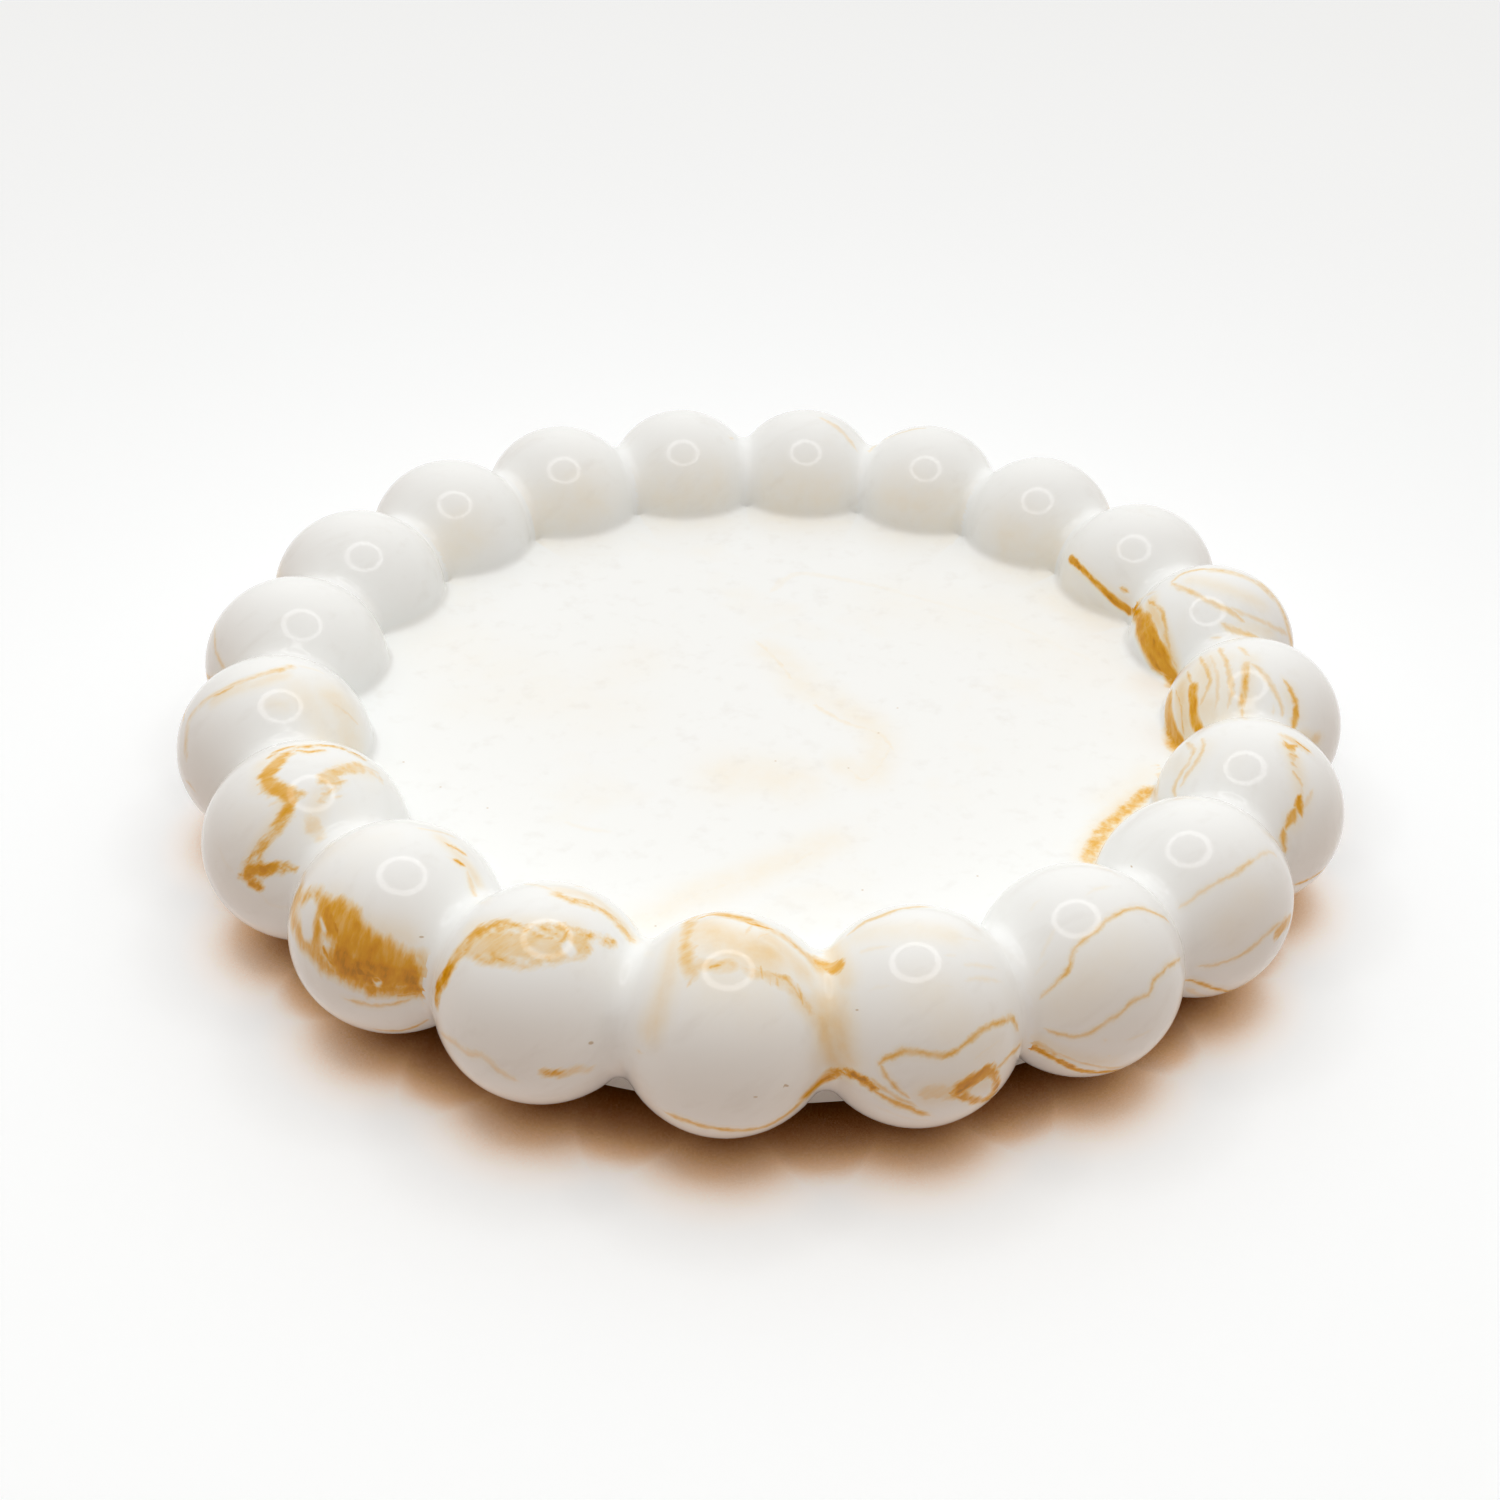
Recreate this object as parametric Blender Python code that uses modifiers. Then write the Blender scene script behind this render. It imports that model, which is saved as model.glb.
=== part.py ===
"""A round decorative tray, poured in one piece: a ring of beads around a flat floor, on four clear feet.

Metres, +Z up. The origin is on the surface that the tray stands on, at the middle of the ring.
A bead faces -Y.
"""

from math import asin, atan2, cos, hypot, pi, radians, sin, sqrt

import bmesh
import bpy

# The bead ring
BEAD_COUNT = 20
BEAD_RADIUS = 0.0125
BEAD_PITCH = 0.02128
NECK_FILLET = 0.0020

# The floor lies just under the beads' middles, and a fillet runs round each bead's foot
FLOOR_DROP = 0.0006
FOOT_FILLET = 0.0010

# Under the necks a short upright wall runs down to the base, with a fillet in the crease over it
WALL_FILLET = 0.0020

# The flat underside is the face that was open when the tray was poured: it trims the beads by a hair
POUR_TRIM = 0.00005
RIM_BREAK = 0.0003

# The clear stick-on feet
BUMPER_RADIUS = 0.0050
BUMPER_HEIGHT = 0.0015
BUMPER_EDGE = 0.0006
BUMPER_GLUE = 0.0003
BUMPER_RING_SHARE = 0.70
BUMPER_PLACES = {"front_left": 225, "front_right": 315, "rear_right": 45, "rear_left": 135}

# Facets. Stations are places round the ring, as shares of the half angle between two beads
STATION_SHARES = (0.0, 0.24, 0.47, 0.67)
NECK_STATION_SHARES = (0.0, 0.5, 1.0)
QUARTER_STEPS = 5
FOOT_STEPS = 3
WALL_FILLET_STEPS = 4
BUMPER_STEPS = 32
BUMPER_EDGE_STEPS = 4
SEARCH_STEPS = 40
SHARP_DEGREES = 40
WELD_DISTANCE = 0.000001

# Colours are linear
CAST_RESIN_COLOUR = (0.86, 0.84, 0.80)
CLEAR_RUBBER_COLOUR = (0.85, 0.87, 0.88)

# Sizes that follow from these
HALF_ANGLE = pi / BEAD_COUNT
HALF_PITCH = BEAD_PITCH / 2
RING_RADIUS = HALF_PITCH / sin(HALF_ANGLE)
NECK_RING_RADIUS = RING_RADIUS * cos(HALF_ANGLE)
BASE_Z = BUMPER_HEIGHT + BUMPER_GLUE
BEAD_Z = BASE_Z + BEAD_RADIUS - POUR_TRIM

# Each fillet is what a ball leaves as it rolls round in a crease: where its middle runs, and where it touches
NECK_BALL_RING = sqrt((BEAD_RADIUS + NECK_FILLET) ** 2 - HALF_PITCH**2)
NECK_HALF_LENGTH = HALF_PITCH * NECK_FILLET / (BEAD_RADIUS + NECK_FILLET)
FOOT_BALL_Z = FOOT_FILLET - FLOOR_DROP
FOOT_BALL_RING = sqrt((BEAD_RADIUS + FOOT_FILLET) ** 2 - FOOT_BALL_Z**2)
FOOT_TOP_ANGLE = -asin(FOOT_BALL_Z / (BEAD_RADIUS + FOOT_FILLET))


def clear_scene():
    for obj in list(bpy.data.objects):
        bpy.data.objects.remove(obj, do_unlink=True)


def new_collection(name):
    collection = bpy.data.collections.new(name)
    bpy.context.scene.collection.children.link(collection)
    return collection


def new_material(name, colour, roughness, transmission=0.0):
    material = bpy.data.materials.new(name)
    material.use_nodes = True
    shader = material.node_tree.nodes["Principled BSDF"]
    shader.inputs["Base Color"].default_value = (*colour, 1.0)
    shader.inputs["Roughness"].default_value = roughness
    shader.inputs["Metallic"].default_value = 0.0
    shader.inputs["Transmission Weight"].default_value = transmission
    return material


def new_object(name, mesh, collection, material):
    obj = bpy.data.objects.new(name, mesh)
    obj.data.materials.append(material)
    collection.objects.link(obj)
    return obj


# A point of the casting is given by three numbers: out is its distance from the tray's axis, up is its height
# over the beads' middles, and off is the angle round the ring from the nearest bead.


def in_bead(out, up, off):
    across = out**2 + RING_RADIUS**2 - 2 * out * RING_RADIUS * cos(off)
    return across + up**2 < BEAD_RADIUS**2


def in_neck(out, up, off):
    along = out * sin(HALF_ANGLE - off)
    if abs(along) > NECK_HALF_LENGTH:
        return False
    from_axis = hypot(out * cos(HALF_ANGLE - off) - NECK_RING_RADIUS, up)
    return from_axis < NECK_BALL_RING - sqrt(NECK_FILLET**2 - along**2)


def in_foot(out, up, off):
    from_ball = up - FOOT_BALL_Z
    if out > RING_RADIUS or up < -FLOOR_DROP or abs(from_ball) > FOOT_FILLET:
        return False
    if up > FOOT_BALL_Z + FOOT_FILLET * sin(FOOT_TOP_ANGLE):
        return False
    across = sqrt(out**2 + RING_RADIUS**2 - 2 * out * RING_RADIUS * cos(off))
    return across < FOOT_BALL_RING - sqrt(FOOT_FILLET**2 - from_ball**2)


def over_wall(off):
    """The section of the bead or neck over the wall at this station, as its middle and radius."""
    along = RING_RADIUS * sin(HALF_ANGLE - off)
    if along > NECK_HALF_LENGTH:
        return RING_RADIUS * cos(off), sqrt(BEAD_RADIUS**2 - (RING_RADIUS * sin(off)) ** 2)
    return NECK_RING_RADIUS / cos(HALF_ANGLE - off), NECK_BALL_RING - sqrt(NECK_FILLET**2 - along**2)


def wall_ball(off):
    """How high the ball in the crease over the wall lies, and the point where it touches the bead or neck."""
    middle, radius = over_wall(off)
    reach = radius + WALL_FILLET
    across = RING_RADIUS + WALL_FILLET - middle
    ball_up = -sqrt(reach**2 - across**2)
    return ball_up, (middle + across * radius / reach, ball_up * radius / reach)


def in_crease(out, up, off):
    ball_up, (touch_out, _) = wall_ball(off)
    if out < RING_RADIUS or out > touch_out or up < ball_up or up > 0.0:
        return False
    return hypot(out - RING_RADIUS - WALL_FILLET, up - ball_up) > WALL_FILLET


def in_casting(out, up, off):
    return in_bead(out, up, off) or in_neck(out, up, off) or in_foot(out, up, off) or in_crease(out, up, off)


def surface_point(start, direction, off):
    """Where a line from the point start inside the casting comes out of it, found by halving."""
    out, up = start
    near = 0.0
    far = BEAD_RADIUS + FOOT_FILLET + NECK_FILLET
    for _ in range(SEARCH_STEPS):
        middle = (near + far) / 2
        if in_casting(out + middle * cos(direction), up + middle * sin(direction), off):
            near = middle
        else:
            far = middle
    return out + near * cos(direction), up + near * sin(direction)


def outer_side(up, off):
    """The casting's outer surface at this height under the beads' middles: bead, neck, crease or wall."""
    return surface_point((RING_RADIUS, up), 0.0, off)[0]


def section(off):
    """The casting's outline at one station, as (out, up) points.

    It goes from the floor up the foot fillet, round the bead or neck, and down the crease and the wall
    to the underside.
    """
    middle = RING_RADIUS * cos(off)
    points = []
    for step in range(FOOT_STEPS + 1):
        angle = -pi / 2 + (FOOT_TOP_ANGLE + pi / 2) * step / FOOT_STEPS
        start = (middle, FOOT_BALL_Z + FOOT_FILLET * sin(angle))
        points.append(surface_point(start, pi, off))
    foot_out, foot_up = points[-1]
    pour_up = POUR_TRIM - BEAD_RADIUS
    rim_up = pour_up + RIM_BREAK
    ball_up, (_, touch_up) = wall_ball(off)
    crease_top = max(touch_up, rim_up + RIM_BREAK)
    crease_foot = max(ball_up, rim_up + RIM_BREAK / 2)
    crease_angle = atan2(crease_top, outer_side(crease_top, off) - middle)
    turns = (atan2(foot_up, foot_out - middle), pi / 2, 0.0, crease_angle)
    for here, after in zip(turns, turns[1:]):
        for step in range(1, QUARTER_STEPS + 1):
            points.append(surface_point((middle, 0.0), here + (after - here) * step / QUARTER_STEPS, off))
    for step in range(1, WALL_FILLET_STEPS + 1):
        up = crease_top + (crease_foot - crease_top) * step / WALL_FILLET_STEPS
        points.append((outer_side(up, off), up))
    rim_out = outer_side(rim_up, off)
    points.append((rim_out, rim_up))
    points.append((min(outer_side(pour_up, off), rim_out - RIM_BREAK), pour_up))
    return points


def stations():
    """The angles from a bead's middle at which the casting has a section, up to the necks on both sides."""
    neck_start = HALF_ANGLE - asin(NECK_HALF_LENGTH / RING_RADIUS)
    offs = [share * HALF_ANGLE for share in STATION_SHARES]
    offs += [neck_start + (HALF_ANGLE - neck_start) * share for share in NECK_STATION_SHARES]
    return [-off for off in offs[-2:0:-1]] + offs


def make_casting(collection, material):
    """Lofts the sections round the ring, and closes them with the floor and the underside."""
    offs = stations()
    outlines = {off: section(abs(off)) for off in offs}
    bm = bmesh.new()
    rings = []
    for bead in range(BEAD_COUNT):
        for off in offs:
            angle = 2 * HALF_ANGLE * bead + off - pi / 2
            rings.append([bm.verts.new((o * cos(angle), o * sin(angle), BEAD_Z + u)) for o, u in outlines[off]])
    for here, after in zip(rings, rings[1:] + rings[:1]):
        for low in range(len(here) - 1):
            bm.faces.new((here[low], after[low], after[low + 1], here[low + 1]))
    for row, up in ((0, -FLOOR_DROP), (-1, POUR_TRIM - BEAD_RADIUS)):
        middle = bm.verts.new((0.0, 0.0, BEAD_Z + up))
        for here, after in zip(rings, rings[1:] + rings[:1]):
            bm.faces.new((middle, here[row], after[row]))
    bmesh.ops.recalc_face_normals(bm, faces=bm.faces)
    mesh = bpy.data.meshes.new("tray_casting")
    bm.to_mesh(mesh)
    bm.free()
    mesh.shade_smooth()
    mesh.set_sharp_from_angle(angle=radians(SHARP_DEGREES))
    return new_object("tray_casting", mesh, collection, material)


def make_bumper(name, degrees, collection, material):
    """A low disc with a rounded lower edge, turned about its own upright axis."""
    edge_x = BUMPER_RADIUS - BUMPER_EDGE
    angles = [-pi / 2 * step / BUMPER_EDGE_STEPS for step in range(BUMPER_EDGE_STEPS + 1)]
    profile = [(0.0, BUMPER_HEIGHT), (BUMPER_RADIUS, BUMPER_HEIGHT)]
    profile += [(edge_x + BUMPER_EDGE * cos(a), BUMPER_EDGE + BUMPER_EDGE * sin(a)) for a in angles]
    profile.append((0.0, 0.0))
    mesh = bpy.data.meshes.new(name)
    mesh.from_pydata([(x, 0.0, z) for x, z in profile], [(i, i + 1) for i in range(len(profile) - 1)], [])
    bumper = new_object(name, mesh, collection, material)
    turn = bumper.modifiers.new("Turn", "SCREW")
    turn.steps = BUMPER_STEPS
    turn.render_steps = BUMPER_STEPS
    turn.use_merge_vertices = True
    turn.merge_threshold = WELD_DISTANCE
    reach = BUMPER_RING_SHARE * RING_RADIUS
    bumper.location = (reach * cos(radians(degrees)), reach * sin(radians(degrees)), 0.0)
    return bumper


clear_scene()
tray = new_collection("decorative_tray")
cast_resin = new_material("polished_cast_resin", CAST_RESIN_COLOUR, roughness=0.12)
clear_rubber = new_material("clear_polyurethane", CLEAR_RUBBER_COLOUR, roughness=0.25, transmission=0.8)
make_casting(tray, cast_resin)
for place, degrees in BUMPER_PLACES.items():
    make_bumper(f"bumper_{place}", degrees, tray, clear_rubber)
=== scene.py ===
"""A round bead-rimmed tray in polished, marbled casting resin, on a white table under a ring lamp.

Metres, +Z up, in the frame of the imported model.
"""

from math import asin, cos, inf, pi, radians, sin, sqrt

import bpy
import numpy as np
from mathutils import Matrix, Vector
from mathutils.bvhtree import BVHTree


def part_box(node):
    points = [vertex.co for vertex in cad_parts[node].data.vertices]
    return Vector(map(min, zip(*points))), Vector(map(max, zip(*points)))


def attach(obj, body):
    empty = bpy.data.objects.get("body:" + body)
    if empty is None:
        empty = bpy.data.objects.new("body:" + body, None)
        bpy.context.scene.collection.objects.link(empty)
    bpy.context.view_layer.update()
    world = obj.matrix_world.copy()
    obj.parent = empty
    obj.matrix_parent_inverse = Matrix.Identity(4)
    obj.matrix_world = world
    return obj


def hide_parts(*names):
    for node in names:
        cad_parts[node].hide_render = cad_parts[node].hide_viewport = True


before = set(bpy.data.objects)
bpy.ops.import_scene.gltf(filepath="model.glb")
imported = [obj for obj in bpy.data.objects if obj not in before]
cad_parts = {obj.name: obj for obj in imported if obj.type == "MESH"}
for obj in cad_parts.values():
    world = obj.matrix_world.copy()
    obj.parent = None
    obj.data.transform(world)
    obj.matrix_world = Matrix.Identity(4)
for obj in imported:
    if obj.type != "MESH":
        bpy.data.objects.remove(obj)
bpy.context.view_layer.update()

MM = 0.001

# The casting's sizes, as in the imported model
BEAD_COUNT = 20
BEAD_RADIUS = 0.0125
BEAD_PITCH = 0.02128
NECK_FILLET = 0.0020
FLOOR_DROP = 0.0006
FOOT_FILLET = 0.0010
WALL_FILLET = 0.0020
POUR_TRIM = 0.00005
RIM_BREAK = 0.0003
HALF_ANGLE = pi / BEAD_COUNT
HALF_PITCH = BEAD_PITCH / 2
RING_RADIUS = HALF_PITCH / sin(HALF_ANGLE)
NECK_RING_RADIUS = RING_RADIUS * cos(HALF_ANGLE)
NECK_BALL_RING = sqrt((BEAD_RADIUS + NECK_FILLET) ** 2 - HALF_PITCH**2)
NECK_HALF_LENGTH = HALF_PITCH * NECK_FILLET / (BEAD_RADIUS + NECK_FILLET)
FOOT_BALL_UP = FOOT_FILLET - FLOOR_DROP
FOOT_BALL_RING = sqrt((BEAD_RADIUS + FOOT_FILLET) ** 2 - FOOT_BALL_UP**2)
FOOT_TOP_ANGLE = -asin(FOOT_BALL_UP / (BEAD_RADIUS + FOOT_FILLET))
BEAD_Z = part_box("tray_casting")[1][2] - BEAD_RADIUS

# How finely the visible casting is divided: steps round half a bead and half a neck, and rows along a section
BEAD_STEPS = 12
NECK_STEPS = 4
FLOOR_ROWS = 32
FLOOR_GATHER = 0.65
FOOT_ROWS = 4
INNER_ROWS = 36
OUTER_ROWS = 28
LOWER_ROWS = 26
CREASE_ROWS = 7
BASE_ROWS = 10
SEARCH_STEPS = 36
WELD = 0.000001
SMOOTH_ANGLE = radians(35)

# The photograph's frame and camera, found from the beads' places in it
PHOTO_SIDE = 1500
FOCAL_PIXELS = 1840.4
CENTRE_X = 874.5
CENTRE_Y = 702.1
SENSOR_MM = 36.0
CAMERA_PLACE = Vector((0.01348, -0.22018, 0.15716))
CAMERA_YAW = radians(0.198)
CAMERA_PITCH = radians(33.03)
CAMERA_ROLL = radians(3.77)
CLIP_START = 0.01


def deselect_all():
    bpy.ops.object.select_all(action="DESELECT")


def shape(name, body="root"):
    """Names the active object and makes it ride on the tray's body."""
    piece = bpy.context.object
    piece.name = name
    piece.data.name = name
    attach(piece, body)
    return piece


def srgb(text):
    """An sRGB hex colour as linear numbers."""
    values = [int(text[i : i + 2], 16) / 255 for i in (0, 2, 4)]
    return (*[v / 12.92 if v <= 0.04045 else ((v + 0.055) / 1.055) ** 2.4 for v in values], 1.0)


# The casting. A point is given by out, its distance from the tray's axis, up, its height over the beads'
# middles, and off, the angle round the ring from the nearest bead.


def over_wall(off):
    """The section of the bead or neck over the wall at these stations, as middles and radii."""
    along = RING_RADIUS * np.sin(HALF_ANGLE - off)
    at_neck = along <= NECK_HALF_LENGTH
    bead_radius = np.sqrt(BEAD_RADIUS**2 - (RING_RADIUS * np.sin(off)) ** 2)
    neck_radius = NECK_BALL_RING - np.sqrt(np.maximum(NECK_FILLET**2 - along**2, 0.0))
    middle = np.where(at_neck, NECK_RING_RADIUS / np.cos(HALF_ANGLE - off), RING_RADIUS * np.cos(off))
    return middle, np.where(at_neck, neck_radius, bead_radius)


def wall_ball(off):
    """How high the ball in the crease over the wall lies, and where it touches the bead or neck."""
    middle, radius = over_wall(off)
    reach = radius + WALL_FILLET
    across = RING_RADIUS + WALL_FILLET - middle
    ball_up = -np.sqrt(reach**2 - across**2)
    return ball_up, middle + across * radius / reach, ball_up * radius / reach


def in_casting(out, up, off):
    """Whether points lie inside the casting: in a bead, a neck, or the fillet along the floor or the wall."""
    across = out**2 + RING_RADIUS**2 - 2 * out * RING_RADIUS * np.cos(off)
    bead = across + up**2 < BEAD_RADIUS**2
    along = out * np.sin(HALF_ANGLE - off)
    from_axis = np.hypot(out * np.cos(HALF_ANGLE - off) - NECK_RING_RADIUS, up)
    waist = NECK_BALL_RING - np.sqrt(np.maximum(NECK_FILLET**2 - along**2, 0.0))
    neck = (np.abs(along) <= NECK_HALF_LENGTH) & (from_axis < waist)
    from_ball = up - FOOT_BALL_UP
    foot_edge = FOOT_BALL_RING - np.sqrt(np.maximum(FOOT_FILLET**2 - from_ball**2, 0.0))
    foot_top = FOOT_BALL_UP + FOOT_FILLET * sin(FOOT_TOP_ANGLE)
    foot = (out <= RING_RADIUS) & (up >= -FLOOR_DROP) & (up <= foot_top)
    foot &= (np.abs(from_ball) <= FOOT_FILLET) & (np.sqrt(across) < foot_edge)
    ball_up, touch_out, _ = wall_ball(off)
    crease = (out >= RING_RADIUS) & (out <= touch_out) & (up >= ball_up) & (up <= 0.0)
    crease &= np.hypot(out - RING_RADIUS - WALL_FILLET, up - ball_up) > WALL_FILLET
    return bead | neck | foot | crease


def surface_point(out, up, direction, off):
    """Where lines from points inside the casting come out of it, found by halving."""
    near = np.zeros_like(off)
    far = np.full_like(off, BEAD_RADIUS + FOOT_FILLET + NECK_FILLET)
    for _ in range(SEARCH_STEPS):
        middle = (near + far) / 2
        inside = in_casting(out + middle * np.cos(direction), up + middle * np.sin(direction), off)
        near = np.where(inside, middle, near)
        far = np.where(inside, far, middle)
    return out + near * np.cos(direction), up + near * np.sin(direction)


def outer_side(up, off):
    """How far out the casting reaches at a height."""
    return surface_point(np.full_like(off, RING_RADIUS), up, np.zeros_like(off), off)[0]


def sections(off):
    """The casting's outline at each station, as (out, up) rows from the floor's middle to the base's."""
    middle = RING_RADIUS * np.cos(off)
    rows = []
    foot = []
    for step in range(FOOT_ROWS + 1):
        angle = -pi / 2 + (FOOT_TOP_ANGLE + pi / 2) * step / FOOT_ROWS
        up = np.full_like(off, FOOT_BALL_UP + FOOT_FILLET * sin(angle))
        foot.append(surface_point(middle, up, np.full_like(off, pi), off))
    for step in range(FLOOR_ROWS):
        rows.append((foot[0][0] * (step / FLOOR_ROWS) ** FLOOR_GATHER, np.full_like(off, -FLOOR_DROP)))
    rows += foot
    pour_up = np.full_like(off, POUR_TRIM - BEAD_RADIUS)
    rim_up = pour_up + RIM_BREAK
    ball_up, _, touch_up = wall_ball(off)
    crease_top = np.maximum(touch_up, rim_up + RIM_BREAK)
    crease_foot = np.maximum(ball_up, rim_up + RIM_BREAK / 2)
    foot_angle = np.arctan2(foot[-1][1], foot[-1][0] - middle)
    crease_angle = np.arctan2(crease_top, outer_side(crease_top, off) - middle)
    top = np.full_like(off, pi / 2)
    side = np.zeros_like(off)
    turns = ((foot_angle, top, INNER_ROWS), (top, side, OUTER_ROWS), (side, crease_angle, LOWER_ROWS))
    for here, after, steps in turns:
        for step in range(1, steps + 1):
            rows.append(surface_point(middle, side, here + (after - here) * step / steps, off))
    for step in range(1, CREASE_ROWS + 1):
        up = crease_top + (crease_foot - crease_top) * step / CREASE_ROWS
        rows.append((outer_side(up, off), up))
    rim_out = outer_side(rim_up, off)
    base_out = np.minimum(outer_side(pour_up, off), rim_out - RIM_BREAK)
    rows += [(rim_out, rim_up), (base_out, pour_up)]
    for step in range(1, BASE_ROWS + 1):
        rows.append((base_out * (1 - step / BASE_ROWS), pour_up))
    return np.array(rows)


def make_casting():
    """The casting, from a grid wrapped into a closed skin and drawn onto the tray's surface.

    The fillets between beads, floor and wall vary from point to point round the ring, and no edit-mode
    operator rolls such a fillet, so every row of the grid is laid along its own row of the tray's section.
    """
    neck_start = HALF_ANGLE - asin(NECK_HALF_LENGTH / RING_RADIUS)
    offs = [neck_start * step / BEAD_STEPS for step in range(BEAD_STEPS + 1)]
    offs += [neck_start + (HALF_ANGLE - neck_start) * step / NECK_STEPS for step in range(1, NECK_STEPS + 1)]
    offs = np.array(offs)
    rows = sections(offs)
    half_steps = BEAD_STEPS + NECK_STEPS
    columns = 2 * half_steps * BEAD_COUNT
    deselect_all()
    last_row = len(rows) - 1
    bpy.ops.mesh.primitive_grid_add(x_subdivisions=columns, y_subdivisions=last_row, size=2, calc_uvs=False)
    casting = shape("marbled_casting")
    mesh = casting.data
    grid = np.empty(len(mesh.vertices) * 3)
    mesh.vertices.foreach_get("co", grid)
    grid = (grid.reshape(-1, 3) + 1) / 2
    column = np.rint(grid[:, 0] * columns).astype(int) % columns
    row = np.rint(grid[:, 1] * last_row).astype(int)
    bead, step = np.divmod(column, 2 * half_steps)
    step -= half_steps
    angle = 2 * HALF_ANGLE * bead + np.sign(step) * offs[np.abs(step)] - pi / 2
    out, up = rows[row, 0, np.abs(step)], rows[row, 1, np.abs(step)]
    points = np.stack([out * np.cos(angle), out * np.sin(angle), BEAD_Z + up], axis=1)
    points = np.clip(points, *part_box("tray_casting"))
    mesh.vertices.foreach_set("co", points.ravel())
    mesh.update()
    bpy.ops.object.mode_set(mode="EDIT")
    bpy.ops.mesh.select_all(action="SELECT")
    bpy.ops.mesh.remove_doubles(threshold=WELD)
    bpy.ops.mesh.normals_make_consistent(inside=False)
    bpy.ops.object.mode_set(mode="OBJECT")
    bpy.ops.object.shade_smooth_by_angle(angle=SMOOTH_ANGLE)
    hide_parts("tray_casting")
    return casting


def add_node(tree, kind, inputs=None, stops=(), **settings):
    """Adds a node with its settings, stops and inputs: values, sockets, or nodes for their first output."""
    node = tree.nodes.new(kind)
    for name, value in settings.items():
        setattr(node, name, value)
    for socket, value in (inputs or {}).items():
        if isinstance(value, bpy.types.Node):
            value = value.outputs[0]
        if isinstance(value, bpy.types.NodeSocket):
            tree.links.new(value, node.inputs[socket])
        else:
            node.inputs[socket].default_value = value
    for index, (share, text) in enumerate(stops):
        ramp = node.color_ramp.elements
        stop = ramp[index] if index < len(ramp) else ramp.new(share)
        stop.position = share
        stop.color = srgb(text)
    return node


def new_material(name):
    """A material, its nodes and its shader."""
    material = bpy.data.materials.new(name)
    material.use_nodes = True
    tree = material.node_tree
    return material, tree, tree.nodes["Principled BSDF"]


# The beads, from the front one round to the right
BEAD_LETTERS = "ABCDEFGHIJKLMNOPQRST"

# How far off a stroke's pixel may strike and still count as on its bead or on the floor
BEAD_SLACK = 1.5 * MM
FLOOR_SLACK = 0.4 * MM

# How finely strokes are stepped, a length that keeps a step of none from dividing by nought, and how far round
# each kind its distances are kept: for washes in their own half widths, in which washes and flecks also fade.
# FAR_OFF is what a point keeps that lies near no stroke.
STROKE_STEP = 0.4 * MM
SHORTEST = 1e-9
LINE_REACH = 3 * MM
BAND_REACH = 4 * MM
WASH_REACH = 2.2
WASH_FALL = 1.2
FLECK_FALL = 0.8
FAR_OFF = 9.0

# Lines lie in layers, so that those that cross don't cut each other short. In millimetres: how far past its
# edge a line is kept whole, before it gives way by LINE_FALL, how soft the edge is, how far the pale halo
# reaches, and how long the tips taper. As shares of the line: how deep the halo is and how wide a tip ends.
LINE_LAYERS = 5
LINE_NAMES = [f"line_{layer + 1}" for layer in range(LINE_LAYERS)]
LINE_MARGIN = 0.9
LINE_FALL = 2
LINE_SOFTNESS = 0.42
HALO_REACH = 1.2
HALO_SHARE = 0.10
TIP_LENGTH = 1.5
TIP_SHARE = 0.45

# How ragged and how soft a band's edges are, in millimetres, by place
BAND_EDGES = {
    "A": (0.24, 0.95),
    "B": (0.40, 0.50),
    "C": (0.30, 0.40),
    "D": (0.40, 0.45),
    "E": (0.50, 0.50),
    "F": (0.20, 0.60),
    "G": (0.10, 0.85),
    "H": (0.12, 0.35),
    "Q": (0.30, 0.60),
    "R": (0.45, 0.55),
    "S": (0.46, 1.05),
    "T": (0.50, 0.70),
    "floor": (0.30, 0.80),
    "other": (0.80, 0.90),
}

# The way in which the pigment was drawn out, as right and up in the photograph, the beads that have one of
# their own, and by how much
FLOW = (0.8, 0.6)
FLOWS = {"S": (0.25, 1.0), "F": (0.1, -1.0), "G": (0.5, -0.9), "E": (0.2, -1.0), "H": (0.7, -0.7)}
FLOW_STRETCH = 3.5

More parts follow.
